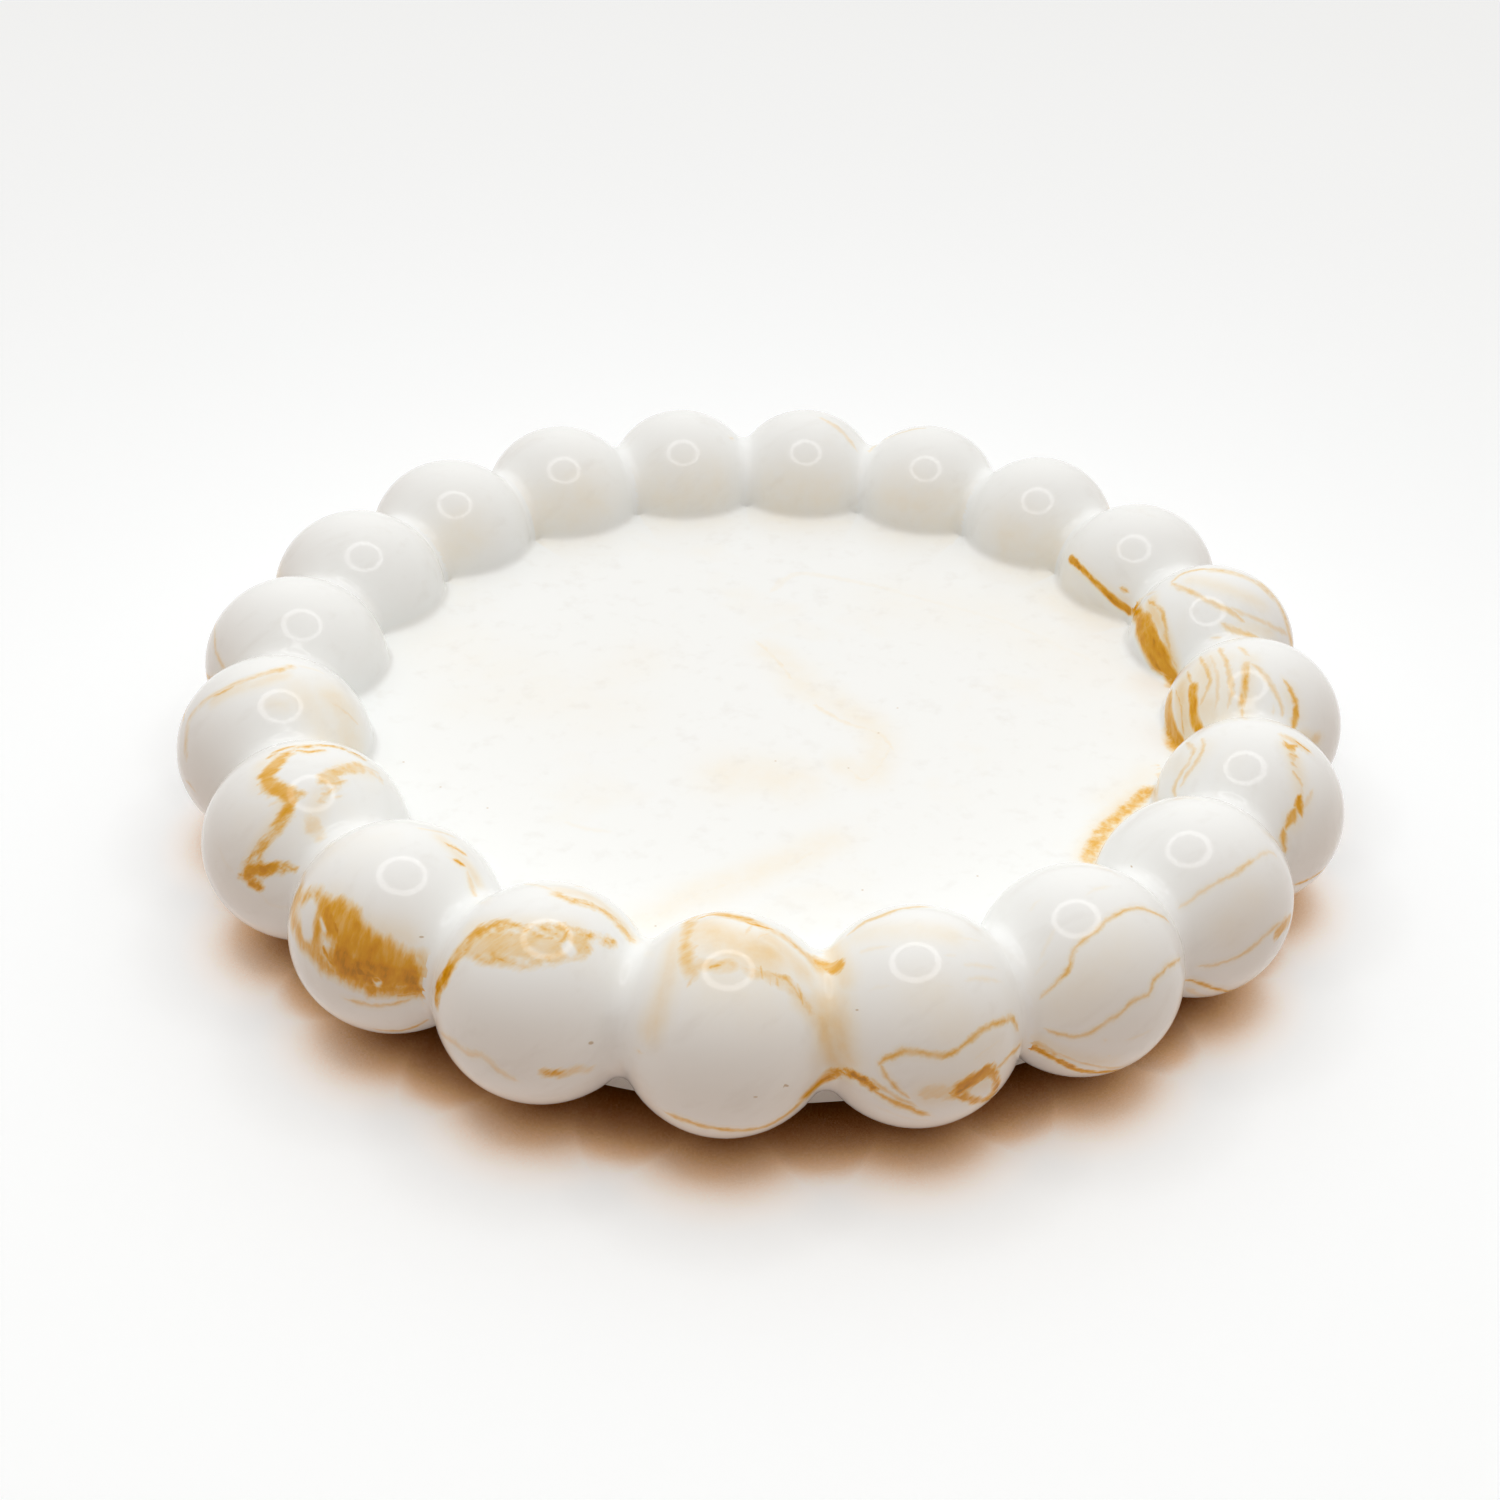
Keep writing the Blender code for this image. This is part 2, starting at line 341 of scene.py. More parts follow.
# The marbling. Each vein is a stroke over a bead, two beads or the floor: how deep its pigment
# is (0 none, 1 full gold), half its width in millimetres, and the points that it passes, as pixels of the
# photograph. The first table has the fine lines, by place.
LINES = {
    "A": (
        (0.96, 0.28, (697, 919), (708, 915), (722, 915), (735, 918)),
        (0.90, 0.28, (745, 922), (760, 926), (775, 930)),
        (0.40, 0.26, (745, 938), (748, 931), (752, 925)),
        (0.40, 0.26, (757, 946), (760, 938), (766, 934), (773, 931)),
        (0.44, 0.34, (680, 943), (686, 938), (694, 934)),
        (0.44, 0.34, (683, 955), (690, 949), (698, 945)),
        (0.40, 0.34, (682, 966), (690, 960), (698, 956)),
        (0.46, 0.28, (688, 986), (693, 978), (698, 970)),
        (0.80, 0.36, (710, 968), (716, 966), (723, 966)),
        (0.40, 0.28, (752, 965), (760, 968), (768, 975), (772, 985)),
        (0.56, 0.40, (770, 972), (786, 980), (797, 992), (805, 1006)),
        (0.72, 0.30, (797, 985), (801, 994), (803, 1004)),
        (0.62, 0.30, (762, 966), (763, 978)),
        (0.62, 0.30, (776, 972), (779, 986)),
        (0.26, 0.34, (665, 988), (664, 1000), (660, 1012)),
        # This line follows the bead's lower edge, next to the table, and the AB rows carry it on under the neck
        # and along B.
        (0.60, 0.50, (665, 1112), (690, 1122), (730, 1130), (760, 1128), (790, 1112), (808, 1093)),
        (0.40, 0.30, (638, 1051), (642, 1053)),
    ),
    "AB": (
        # These carry A's lower-edge line on along B's lower edge, next to the table.
        (0.66, 0.46, (870, 1086), (882, 1096), (896, 1103), (912, 1109), (928, 1115)),
        (0.50, 0.34, (868, 1078), (882, 1088), (896, 1097), (914, 1106)),
    ),
    "B": (
        (0.44, 0.46, (848, 935), (855, 930), (865, 922), (880, 917), (900, 909), (930, 907)),
        (0.15, 0.25, (860, 952), (873, 948), (890, 946)),
        (0.11, 0.25, (940, 940), (960, 938), (980, 941)),
        (0.11, 0.22, (945, 955), (955, 956)),
        (0.15, 0.22, (965, 966), (980, 965), (995, 968)),
        (0.15, 0.22, (965, 981), (982, 978), (1000, 981)),
        (0.11, 0.22, (940, 985), (955, 986)),
        (0.08, 0.22, (870, 990), (880, 986), (892, 987)),
        (0.60, 0.36, (880, 1065), (885, 1060), (895, 1057), (903, 1052), (925, 1054), (945, 1055),
         (962, 1047)),
        (0.62, 0.36, (958, 1049), (975, 1035), (988, 1027), (1000, 1021), (1012, 1018), (1016, 1025),
         (1018, 1030)),
        (0.67, 0.28, (880, 1065), (885, 1075), (895, 1087), (908, 1098)),
        (0.90, 0.40, (950, 1094), (960, 1087), (975, 1077), (988, 1070), (993, 1075), (997, 1083)),
        (0.91, 0.30, (950, 1094), (965, 1099), (980, 1101), (995, 1097)),
        (0.67, 0.28, (995, 1070), (1004, 1062), (1010, 1055), (1020, 1045)),
        (0.15, 0.22, (975, 1060), (988, 1050), (1000, 1040)),
        (0.08, 0.20, (875, 1105), (890, 1112), (903, 1117), (930, 1120)),
    ),
    "C": (
        (0.60, 0.22, (1041, 998), (1045, 993), (1060, 980), (1070, 968), (1073, 955), (1080, 943),
         (1095, 932)),
        (0.60, 0.22, (1090, 936), (1110, 918), (1125, 911), (1140, 908), (1155, 913), (1168, 921)),
        (0.75, 0.35, (1060, 980), (1066, 973), (1071, 966)),
        (0.60, 0.25, (1045, 1030), (1055, 1034), (1080, 1036), (1095, 1030), (1110, 1020), (1125, 1010)),
        (0.60, 0.25, (1120, 1013), (1135, 1000), (1150, 993), (1153, 983), (1160, 975), (1168, 966),
         (1180, 958)),
        (0.46, 0.24, (1035, 1042), (1050, 1048), (1080, 1062), (1100, 1067), (1125, 1066)),
        (0.08, 0.25, (1035, 975), (1042, 966), (1050, 960)),
        (0.08, 0.25, (1040, 960), (1047, 945), (1055, 930)),
        (0.08, 0.22, (1030, 910), (1035, 904), (1040, 900)),
        (0.08, 0.22, (1087, 895), (1098, 889), (1110, 886)),
        (0.19, 0.20, (1103, 1040), (1107, 1041)),
        (0.11, 0.22, (1125, 1040), (1137, 1036), (1150, 1030)),
        (0.19, 0.20, (1106, 1056), (1110, 1056)),
    ),
    "D": (
        (0.40, 0.24, (1180, 908), (1186, 903), (1192, 899), (1205, 889), (1220, 880)),
        (0.46, 0.28, (1215, 883), (1228, 877), (1238, 873), (1246, 866), (1255, 858)),
        (0.29, 0.20, (1250, 862), (1262, 854), (1272, 852), (1276, 856)),
        (0.46, 0.26, (1200, 966), (1215, 964), (1235, 958), (1250, 949), (1262, 938), (1275, 926),
         (1287, 917)),
        (0.80, 0.40, (1186, 980), (1200, 983), (1220, 990), (1235, 991), (1250, 987)),
    ),
    "E": (
        (0.36, 0.42, (1187, 742), (1193, 750), (1190, 760), (1183, 770), (1177, 780), (1174, 790),
         (1176, 797)),
        (0.38, 0.42, (1202, 739), (1204, 748), (1200, 757), (1192, 768), (1186, 777), (1181, 786)),
        # This line along the bead's lower edge, by the table, is painted shadow of the gap between bead and
        # table.
        (0.80, 0.40, (1296, 884), (1310, 879), (1322, 871), (1330, 864)),
        (0.24, 0.52, (1166, 760), (1161, 770), (1158, 782), (1157, 795)),
        (0.91, 0.39, (1296, 741), (1302, 746), (1310, 752)),
        (0.67, 0.72, (1284, 742), (1290, 748), (1297, 745)),
        (0.75, 0.65, (1291, 754), (1297, 757)),
        (0.60, 0.39, (1291, 762), (1297, 767)),
        (0.60, 0.39, (1293, 772), (1298, 778), (1302, 786)),
        (0.29, 0.39, (1301, 784), (1301, 797)),
        (1.00, 0.78, (1300, 796), (1299, 805), (1301, 815)),
        (0.75, 0.78, (1296, 808), (1292, 818), (1287, 829)),
        (0.67, 0.59, (1284, 829), (1284, 840), (1285, 851)),
        (0.29, 0.42, (1312, 790), (1308, 800), (1303, 811)),
        (0.53, 0.33, (1295, 821), (1296, 824)),
    ),
    "F": (
        (0.60, 0.40, (1176, 690), (1181, 705), (1182, 720), (1184, 735)),
        (0.55, 0.42, (1187, 672), (1191, 685), (1192, 701)),
        (0.50, 0.45, (1200, 657), (1207, 670), (1209, 682), (1205, 692), (1200, 706)),
        (0.32, 0.34, (1211, 655), (1216, 670), (1218, 685), (1217, 700), (1214, 715)),
        (0.42, 0.40, (1219, 648), (1226, 662), (1230, 675), (1231, 690), (1227, 710)),
        (0.52, 0.42, (1243, 706), (1242, 716)),
        (0.38, 0.38, (1252, 664), (1264, 674), (1272, 686), (1279, 700), (1283, 715)),
        (0.36, 0.34, (1239, 647), (1246, 653), (1250, 656)),
        (0.66, 0.40, (1285, 680), (1290, 688), (1294, 698), (1297, 710)),
        (0.76, 0.56, (1296, 704), (1296, 716), (1292, 730)),
        (0.30, 0.34, (1273, 707), (1273, 713)),
    ),
    "G": (
        (0.56, 0.42, (1148, 600), (1158, 608), (1163, 618), (1166, 630), (1167, 642), (1171, 655),
         (1177, 668)),
        (0.24, 0.34, (1140, 599), (1148, 594), (1156, 592)),
        (0.40, 0.40, (1172, 583), (1180, 586), (1195, 594), (1215, 604), (1230, 611), (1244, 622)),
        (0.28, 0.44, (1232, 608), (1245, 614), (1260, 621), (1275, 628), (1288, 635)),
        (0.46, 0.42, (1172, 582), (1180, 575), (1195, 570), (1213, 570)),
        (0.46, 0.55, (1223, 624), (1233, 630), (1245, 634), (1258, 638)),
        (0.26, 0.34, (1212, 638), (1220, 638)),
    ),
    "H": ((0.72, 0.50, (1121, 588), (1128, 592)),),
    "J": ((0.22, 0.45, (868, 452), (880, 442), (895, 435), (925, 428)),),
    "K": ((0.22, 0.55, (820, 418), (832, 424), (842, 432), (856, 450)),),
    "L": ((0.29, 0.20, (730, 438), (733, 438)),),
    "Q": (
        (0.72, 0.34, (212, 697), (222, 692), (235, 685)),
        (0.08, 0.35, (298, 666), (312, 669), (324, 674)),
        (0.26, 0.34, (330, 702), (340, 708), (350, 716), (358, 725)),
        (0.40, 0.25, (186, 781), (190, 785), (195, 791)),
    ),
    "R": (
        (0.83, 0.30, (296, 751), (310, 752), (325, 750)),
        (0.53, 0.25, (256, 778), (262, 774), (270, 770)),
        (0.53, 0.25, (257, 786), (264, 781), (272, 777)),
        (0.53, 0.25, (259, 794), (266, 790), (275, 786)),
        (0.46, 0.25, (269, 797), (276, 793), (284, 789)),
        (0.34, 0.22, (270, 805), (278, 801), (286, 797)),
        (0.53, 0.40, (286, 799), (293, 796), (302, 794)),
        (0.60, 0.55, (291, 800), (288, 806), (283, 814)),
        (0.67, 0.30, (264, 844), (262, 852), (256, 862)),
        (0.34, 0.28, (334, 766), (350, 765), (365, 767), (379, 774)),
        (0.46, 0.40, (324, 780), (335, 784), (346, 781)),
        (0.53, 0.38, (322, 794), (327, 793), (332, 790)),
        (0.40, 0.32, (317, 801), (326, 802)),
        (0.40, 0.16, (336, 797), (341, 796)),
        (0.05, 0.20, (219, 848), (225, 862), (236, 876)),
        (0.05, 0.20, (261, 893), (270, 905), (290, 907)),
    ),
    "S": (
        (0.24, 0.25, (419, 828), (435, 831), (448, 834), (456, 838)),
        (0.83, 0.42, (446, 843), (450, 846), (458, 850), (465, 855)),
        (0.92, 0.46, (455, 860), (464, 865)),
        (0.34, 0.45, (468, 872), (473, 890), (476, 896)),
        (0.60, 0.28, (295, 898), (298, 891), (301, 885)),
        (0.60, 0.28, (303, 898), (307, 892), (311, 886)),
        (0.60, 0.28, (320, 908), (322, 900), (326, 892)),
        (1.16, 0.50, (328, 906), (331, 920), (338, 934)),
        (1.18, 0.60, (350, 963), (364, 974), (379, 981)),
        (1.14, 0.50, (397, 985), (410, 982), (418, 972)),
        (1.12, 0.40, (322, 945), (328, 958), (338, 968)),
        # This line follows the bead's lower edge, next to the table.
        (0.58, 0.32, (374, 1029), (394, 1031), (412, 1028), (428, 1020)),
        (0.91, 0.30, (398, 995), (415, 994), (428, 994), (441, 996)),
        (0.52, 0.24, (346, 999), (360, 1003), (375, 1006), (390, 1004), (412, 999)),
    ),
    "T": (
        (1.00, 0.50, (437, 998), (438, 991), (441, 986)),
        (0.91, 0.50, (446, 981), (448, 974)),
        (0.80, 0.40, (462, 951), (470, 948)),
        (0.80, 0.34, (484, 930), (489, 927), (494, 924)),
        (0.46, 0.28, (517, 937), (524, 941), (530, 937), (537, 931)),
        (0.75, 0.42, (543, 939), (553, 938)),
        (0.75, 0.38, (556, 942), (562, 939), (567, 933), (570, 929)),
        (0.80, 0.40, (496, 959), (507, 961)),
        (0.50, 0.34, (580, 933), (585, 938), (588, 943), (592, 950)),
        (0.20, 0.34, (525, 884), (535, 885), (548, 888), (558, 893)),
        (0.62, 0.32, (575, 901), (588, 904), (602, 910)),
        (0.24, 0.40, (575, 886), (590, 889), (600, 893), (612, 901), (625, 913), (634, 926)),
        (0.30, 0.46, (441, 1033), (450, 1040), (460, 1048), (472, 1054), (484, 1057), (494, 1066),
         (504, 1074), (516, 1080)),
        (0.44, 0.36, (467, 1054), (475, 1056)),
    ),
    "floor": (
        (0.14, 0.45, (755, 640), (770, 653), (785, 670), (805, 695), (830, 715), (855, 726), (880, 733),
         (893, 750)),
        (0.12, 0.40, (890, 745), (880, 765), (865, 782), (852, 772), (840, 760)),
        (0.10, 0.50, (830, 840), (805, 856), (780, 868), (740, 881), (700, 893), (645, 922)),
        (0.05, 0.70, (770, 592), (800, 574), (870, 585), (930, 601), (1000, 620), (1090, 660)),
        (0.05, 0.35, (565, 822), (585, 828), (610, 832)),
    ),
}

# Broad bands with ragged edges
BANDS = {
    "A": (
        (0.74, 0.58, (688, 922), (703, 914), (722, 914), (742, 918), (758, 924)),
        (0.52, 0.52, (758, 924), (772, 930), (786, 938), (800, 950), (812, 962), (821, 972)),
        (0.50, 0.85, (690, 925), (686, 940), (686, 955), (692, 972)),
        (0.44, 0.66, (700, 965), (718, 966), (735, 964)),
        (0.46, 0.62, (752, 972), (770, 975), (788, 984), (800, 998), (812, 1012)),
    ),
    "B": (
        (0.30, 1.00, (926, 1094), (936, 1091), (948, 1094)),
        (1.02, 0.74, (957, 1090), (968, 1083), (979, 1076), (990, 1070)),
        (1.00, 0.62, (990, 1071), (996, 1078), (995, 1088)),
        (0.80, 0.50, (958, 1092), (970, 1099), (984, 1100), (995, 1092)),
    ),
    "C": (
        (0.96, 0.55, (1024, 1049), (1036, 1049), (1050, 1056), (1064, 1063)),
        (0.92, 0.46, (1066, 1064), (1082, 1071), (1100, 1072), (1118, 1070), (1130, 1066)),
        (0.46, 0.40, (1030, 1044), (1045, 1048), (1060, 1055)),
    ),
    "D": (
        (0.60, 0.80, (1277, 934), (1283, 927), (1289, 921)),
        (0.19, 0.50, (1188, 989), (1215, 997), (1238, 999)),
    ),
    "E": (
        (0.34, 0.60, (1284, 736), (1296, 742), (1308, 751)),
        (0.40, 0.55, (1286, 744), (1292, 754), (1294, 762)),
    ),
    "F": (
        (0.82, 1.50, (1168, 700), (1168, 714), (1172, 730), (1178, 742)),
        (0.92, 0.85, (1193, 688), (1193, 704), (1195, 720), (1201, 733)),
        (0.62, 0.50, (1246, 664), (1245, 684), (1243, 704)),
        (0.30, 0.80, (1310, 742), (1317, 738)),
    ),
    "G": (
        (0.88, 1.10, (1132, 606), (1137, 614), (1142, 622)),
        (0.92, 2.10, (1143, 625), (1148, 638), (1154, 650), (1160, 660)),
        (0.94, 1.20, (1160, 660), (1167, 669), (1175, 680)),
        (0.40, 0.60, (1212, 570), (1240, 575), (1258, 584), (1272, 597)),
        (0.50, 0.90, (1262, 584), (1276, 599), (1284, 614), (1289, 630), (1292, 645)),
    ),
    "R": (
        (0.70, 0.36, (270, 757), (283, 749), (310, 746), (337, 747), (350, 752), (363, 758)),
        (0.64, 1.00, (286, 755), (276, 763), (269, 772), (268, 781), (276, 788), (287, 792)),
        (0.58, 0.60, (288, 790), (300, 795)),
        (0.70, 0.74, (291, 798), (287, 810), (281, 820), (274, 829)),
        (0.86, 0.50, (274, 829), (265, 841), (258, 852), (252, 862)),
        (0.98, 0.62, (252, 862), (247, 870), (243, 876)),
        (0.98, 0.62, (244, 877), (250, 881), (256, 885)),
        (0.90, 0.62, (250, 872), (262, 871), (273, 869), (282, 868)),
        (0.80, 0.36, (282, 868), (295, 868)),
        (0.40, 0.95, (325, 779), (335, 773), (346, 769), (360, 768)),
        (0.26, 0.60, (360, 768), (372, 773), (380, 779)),
        (0.40, 0.50, (322, 792), (330, 788), (338, 784)),
        (0.30, 0.45, (318, 800), (324, 797)),
        (0.22, 0.90, (311, 822), (316, 830), (320, 836)),
    ),
    "S": (
        (0.67, 1.15, (299, 896), (294, 906), (293, 918), (297, 930), (304, 941), (311, 950)),
        (0.67, 0.75, (299, 899), (307, 896), (316, 893)),
        (0.75, 0.95, (323, 902), (322, 914), (317, 928), (315, 943), (319, 957), (328, 969)),
        (0.92, 2.20, (334, 918), (345, 930), (358, 943), (372, 952), (385, 958)),
        (1.08, 2.00, (342, 962), (358, 970), (376, 975), (395, 975), (408, 974)),
        (0.91, 1.50, (378, 951), (393, 956), (405, 964), (413, 974)),
        (0.96, 0.90, (352, 978), (368, 987), (386, 989), (405, 990), (420, 989)),
        (0.67, 0.45, (421, 957), (424, 970), (424, 985)),
    ),
    "T": (
        (1.00, 0.85, (437, 999), (440, 986), (446, 975), (452, 964)),
        (0.74, 0.84, (452, 964), (458, 954), (467, 943), (478, 932)),
        (0.66, 0.55, (478, 932), (492, 927), (505, 925), (520, 927), (540, 928), (560, 929), (578, 932),
         (590, 937)),
        (0.42, 1.60, (478, 944), (500, 943), (530, 946), (556, 948), (578, 944)),
        (0.62, 0.36, (475, 956), (490, 959), (507, 961), (522, 964), (545, 962), (565, 958), (588, 951)),
        (0.60, 0.45, (601, 940), (612, 941)),
        (0.50, 0.55, (556, 892), (568, 899), (583, 903), (598, 908), (612, 917), (622, 928), (630, 938)),
        (1.02, 0.42, (544, 1072), (552, 1073), (562, 1073)),
        (0.40, 0.34, (562, 1073), (576, 1071), (590, 1069)),
    ),
    "floor": (
        (0.62, 1.00, (1088, 859), (1096, 842), (1109, 825), (1124, 811), (1139, 799), (1148, 790)),
        (0.86, 0.60, (1087, 855), (1092, 846)),
        (0.84, 0.65, (1098, 834), (1104, 828)),
        (0.80, 0.60, (1110, 823), (1120, 815), (1131, 806)),
    ),
    "H": (
        (1.05, 0.48, (1073, 561), (1084, 571), (1096, 583), (1110, 596)),
        (1.08, 0.60, (1110, 596), (1121, 605), (1130, 612)),
        (1.00, 0.62, (1070, 558), (1076, 563)),
    ),
    "AB": (
        (0.62, 0.95, (816, 962), (826, 966), (838, 966)),
        # This band follows the neck's lower edge between A and B, next to the table.
        (1.04, 0.66, (806, 1096), (820, 1082), (832, 1074), (848, 1072), (862, 1079), (874, 1088)),
    ),
    "Q": (
        (0.44, 0.42, (200, 705), (212, 696), (226, 689), (245, 680), (268, 673), (292, 667)),
        (0.34, 0.34, (186, 758), (186, 740), (188, 722), (196, 709)),
    ),
}

# Pinholes, where a bubble was cut open: half its width in millimetres, and its two ends
PINHOLES = {
    "A": (
        (0.16, (733, 1091), (741, 1093)),
        (0.14, (784, 1085), (788, 1086)),
        (0.09, (754, 1097), (757, 1097)),
    ),
    "B": ((0.09, (856, 1010), (858, 1010)),),
    "D": ((0.10, (1131, 866), (1132, 867)),),
    "S": ((0.12, (420, 937), (423, 937)),),
    "T": ((0.20, (590, 1043), (592, 1043)),),
    "floor": (
        (0.10, (403, 762), (404, 762)),
        (0.09, (440, 787), (441, 787)),
        (0.09, (487, 808), (488, 808)),
        (0.09, (878, 733), (879, 733)),
        (0.09, (775, 761), (776, 761)),
        (0.09, (848, 768), (849, 768)),
        (0.09, (897, 708), (898, 708)),
        (0.09, (977, 876), (978, 876)),
        (0.09, (862, 890), (863, 890)),
        (0.09, (655, 926), (656, 926)),
    ),
}

# Soft washes, where a little pigment clouds the white
WASHES = {
    "A": (
        (0.20, 1.8, (680, 935), (672, 960), (665, 985), (658, 1010), (650, 1030)),
        (0.34, 3.0, (700, 932), (722, 940), (745, 948), (770, 956)),
        (0.26, 1.8, (770, 940), (788, 955), (803, 972)),
        (0.08, 5.5, (700, 960), (730, 980), (765, 985)),
        (0.26, 1.5, (800, 1000), (812, 1012), (820, 1024)),
    ),
    "AB": (
        (0.36, 1.4, (822, 1018), (827, 1038), (833, 1056), (842, 1068)),
        (0.32, 2.4, (828, 1004), (836, 1030), (842, 1055)),
        (0.22, 1.6, (828, 975), (832, 1000)),
    ),
    "B": (
        (0.25, 1.6, (832, 950), (838, 966), (845, 980)),
        (0.11, 2.0, (860, 935), (905, 930), (950, 935)),
        (0.07, 4.0, (930, 1000), (960, 1030), (985, 1050)),
        (0.17, 2.0, (930, 1095), (965, 1088), (990, 1082)),
    ),
    "C": (
        (0.06, 4.0, (1060, 1000), (1090, 980), (1120, 950)),
        (0.11, 1.4, (1035, 1040), (1070, 1055), (1110, 1062)),
    ),
    "D": ((0.06, 3.0, (1230, 930), (1250, 900)),),
    "E": (
        (0.10, 2.2, (1165, 760), (1185, 765), (1200, 750)),
        (0.17, 1.2, (1288, 745), (1296, 765), (1300, 790)),
        (0.14, 1.2, (1305, 800), (1295, 825)),
    ),
    "F": (
        (0.34, 2.2, (1182, 685), (1182, 710), (1188, 735)),
        (0.20, 2.8, (1203, 665), (1205, 690), (1207, 715)),
        (0.12, 2.4, (1225, 660), (1225, 690), (1222, 715)),
        (0.14, 1.6, (1248, 660), (1246, 690), (1243, 712)),
        (0.14, 1.4, (1288, 690), (1296, 715)),
        (0.17, 1.0, (1300, 735), (1318, 740)),
    ),
    "G": (
        (0.35, 1.3, (1150, 602), (1160, 625), (1168, 650), (1174, 668)),
        (0.12, 1.6, (1190, 580), (1230, 590), (1262, 605)),
        (0.14, 1.4, (1240, 628), (1270, 632)),
    ),
    "H": (
        (0.16, 1.4, (1072, 560), (1100, 585), (1128, 606)),
        (0.09, 6.0, (1070, 590), (1095, 610)),
    ),
    "I": ((0.11, 6.0, (1010, 540), (1045, 552)),),
    "J": ((0.11, 6.0, (900, 505), (945, 512)),),
    "K": ((0.11, 6.0, (780, 495), (825, 497)),),
    "L": ((0.10, 6.0, (662, 494), (706, 491)),),
    "M": ((0.10, 6.0, (535, 518), (585, 502)),),
    "N": ((0.09, 5.0, (435, 560), (465, 535)),),
    "Q": (
        (0.17, 1.1, (215, 700), (235, 690), (260, 683), (285, 675)),
        (0.18, 3.2, (335, 700), (347, 720), (352, 742)),
        (0.11, 2.6, (300, 690), (315, 712), (325, 735)),
        (0.11, 1.2, (272, 703), (285, 706)),
    ),
    "R": (
        (0.17, 1.2, (285, 800), (282, 815), (268, 832), (255, 855)),
        (0.14, 1.4, (320, 795), (316, 812), (313, 828)),
        (0.12, 1.4, (345, 768), (368, 772)),
        (0.14, 1.4, (262, 765), (260, 785)),
    ),
    "S": (
        (0.21, 1.0, (440, 838), (455, 852), (470, 868), (478, 882)),
        (0.17, 2.2, (330, 905), (360, 930), (400, 940)),
    ),
    "T": (
        (0.14, 1.6, (470, 930), (520, 925), (575, 930)),
        (0.20, 1.3, (560, 890), (590, 898), (614, 915), (630, 935)),
    ),
    "floor": (
        (0.09, 3.0, (770, 650), (815, 690), (875, 730), (870, 775), (845, 765)),
        (0.09, 5.0, (730, 775), (760, 775), (790, 780)),
        (0.09, 3.2, (830, 840), (760, 872), (690, 898), (645, 920)),
        (0.03, 8.0, (440, 640), (500, 670), (600, 710)),
        (0.03, 6.0, (470, 700), (560, 700), (640, 660)),
        (0.03, 9.0, (900, 600), (1000, 620), (1080, 660)),
        (0.20, 1.7, (1085, 857), (1103, 828), (1120, 808), (1143, 791)),
        (0.06, 3.0, (1110, 800), (1135, 783), (1150, 773)),
    ),
}

# Flecks where the white shows through a band
CLEAR_FLECKS = {
    "S": (
        (0.75, 0.32, (372, 972), (375, 978), (379, 985)),
        (0.60, 0.42, (321, 922), (324, 930)),
        (0.50, 0.32, (318, 948), (323, 957)),
        (0.95, 0.95, (310, 908), (307, 920), (307, 932)),
    ),
    "T": ((0.80, 0.75, (568, 947), (570, 951)), (0.35, 0.70, (532, 950), (548, 956))),
    "R": ((0.80, 1.0, (295, 762), (305, 768)), (0.70, 0.35, (316, 795), (330, 786))),
    "G": ((0.60, 0.32, (1158, 620), (1162, 640)),),
    "F": ((0.55, 0.28, (1184, 690), (1186, 715), (1190, 735)),),
}


def pixel_ray(x, y):
    """The direction in which the camera sees a pixel of the photograph."""
    forward, right, top = camera_axes()
    aim = forward + right * (x - CENTRE_X) / FOCAL_PIXELS - top * (y - CENTRE_Y) / FOCAL_PIXELS
    return aim.normalized()


def on_surface(tree, place, pixel):
    """The point of the casting that shows at a pixel, kept on the bead or the floor that its stroke names."""
    aim = pixel_ray(*pixel)
    hit = tree.ray_cast(CAMERA_PLACE, aim)[0]
    if place == "floor":
        floor_z = BEAD_Z - FLOOR_DROP
        if hit is None or abs(hit.z - floor_z) > FLOOR_SLACK:
            hit = CAMERA_PLACE + aim * ((floor_z - CAMERA_PLACE.z) / aim.z)
        return hit
    if len(place) == 2 and hit is not None:
        return hit
    turn = 2 * HALF_ANGLE * BEAD_LETTERS.index(place[0]) - pi / 2
    middle = Vector((RING_RADIUS * cos(turn), RING_RADIUS * sin(turn), BEAD_Z))
    if hit is not None and (hit - middle).length < BEAD_RADIUS + BEAD_SLACK:
        return hit
    nearest = CAMERA_PLACE + aim * (middle - CAMERA_PLACE).dot(aim)
    inside = BEAD_RADIUS**2 - (nearest - middle).length_squared
    if inside > 0:
        return nearest - aim * sqrt(inside)
    return middle + (nearest - middle).normalized() * BEAD_RADIUS


def bead_numbers(points):
    """Which bead each of these points belongs to."""
    turns = (np.arctan2(points[:, 1], points[:, 0]) + pi / 2) / (2 * HALF_ANGLE)
    return np.rint(turns).astype(int) % BEAD_COUNT


def of_place(place, points):
    """Which of these points belong to the beads or the floor that a stroke names."""
    if place == "floor":
        low = points[:, 2] < BEAD_Z - FLOOR_DROP + FOOT_FILLET
        return low & (np.hypot(*points[:, :2].T) < RING_RADIUS)
    return np.isin(bead_numbers(points), [BEAD_LETTERS.index(letter) for letter in place])


def smooth_path(tree, points):
    """Points at even steps along a smooth curve through these, laid on the casting's surface."""
    ends = [points[0] * 2 - points[1], *points, points[-1] * 2 - points[-2]]
    path = []
    for before, here, after, beyond in zip(ends, ends[1:], ends[2:], ends[3:]):
        count = max(1, round((after - here).length / STROKE_STEP))
        for step in range(count):
            t = step / count
            path.append(
                here
                + (after - before) * (t / 2)
                + (before * 2 - here * 5 + after * 4 - beyond) * (t**2 / 2)
                + (here * 3 - before - after * 3 + beyond) * (t**3 / 2)
            )
    path.append(points[-1])
    return np.array([tree.find_nearest(point)[0] for point in path])


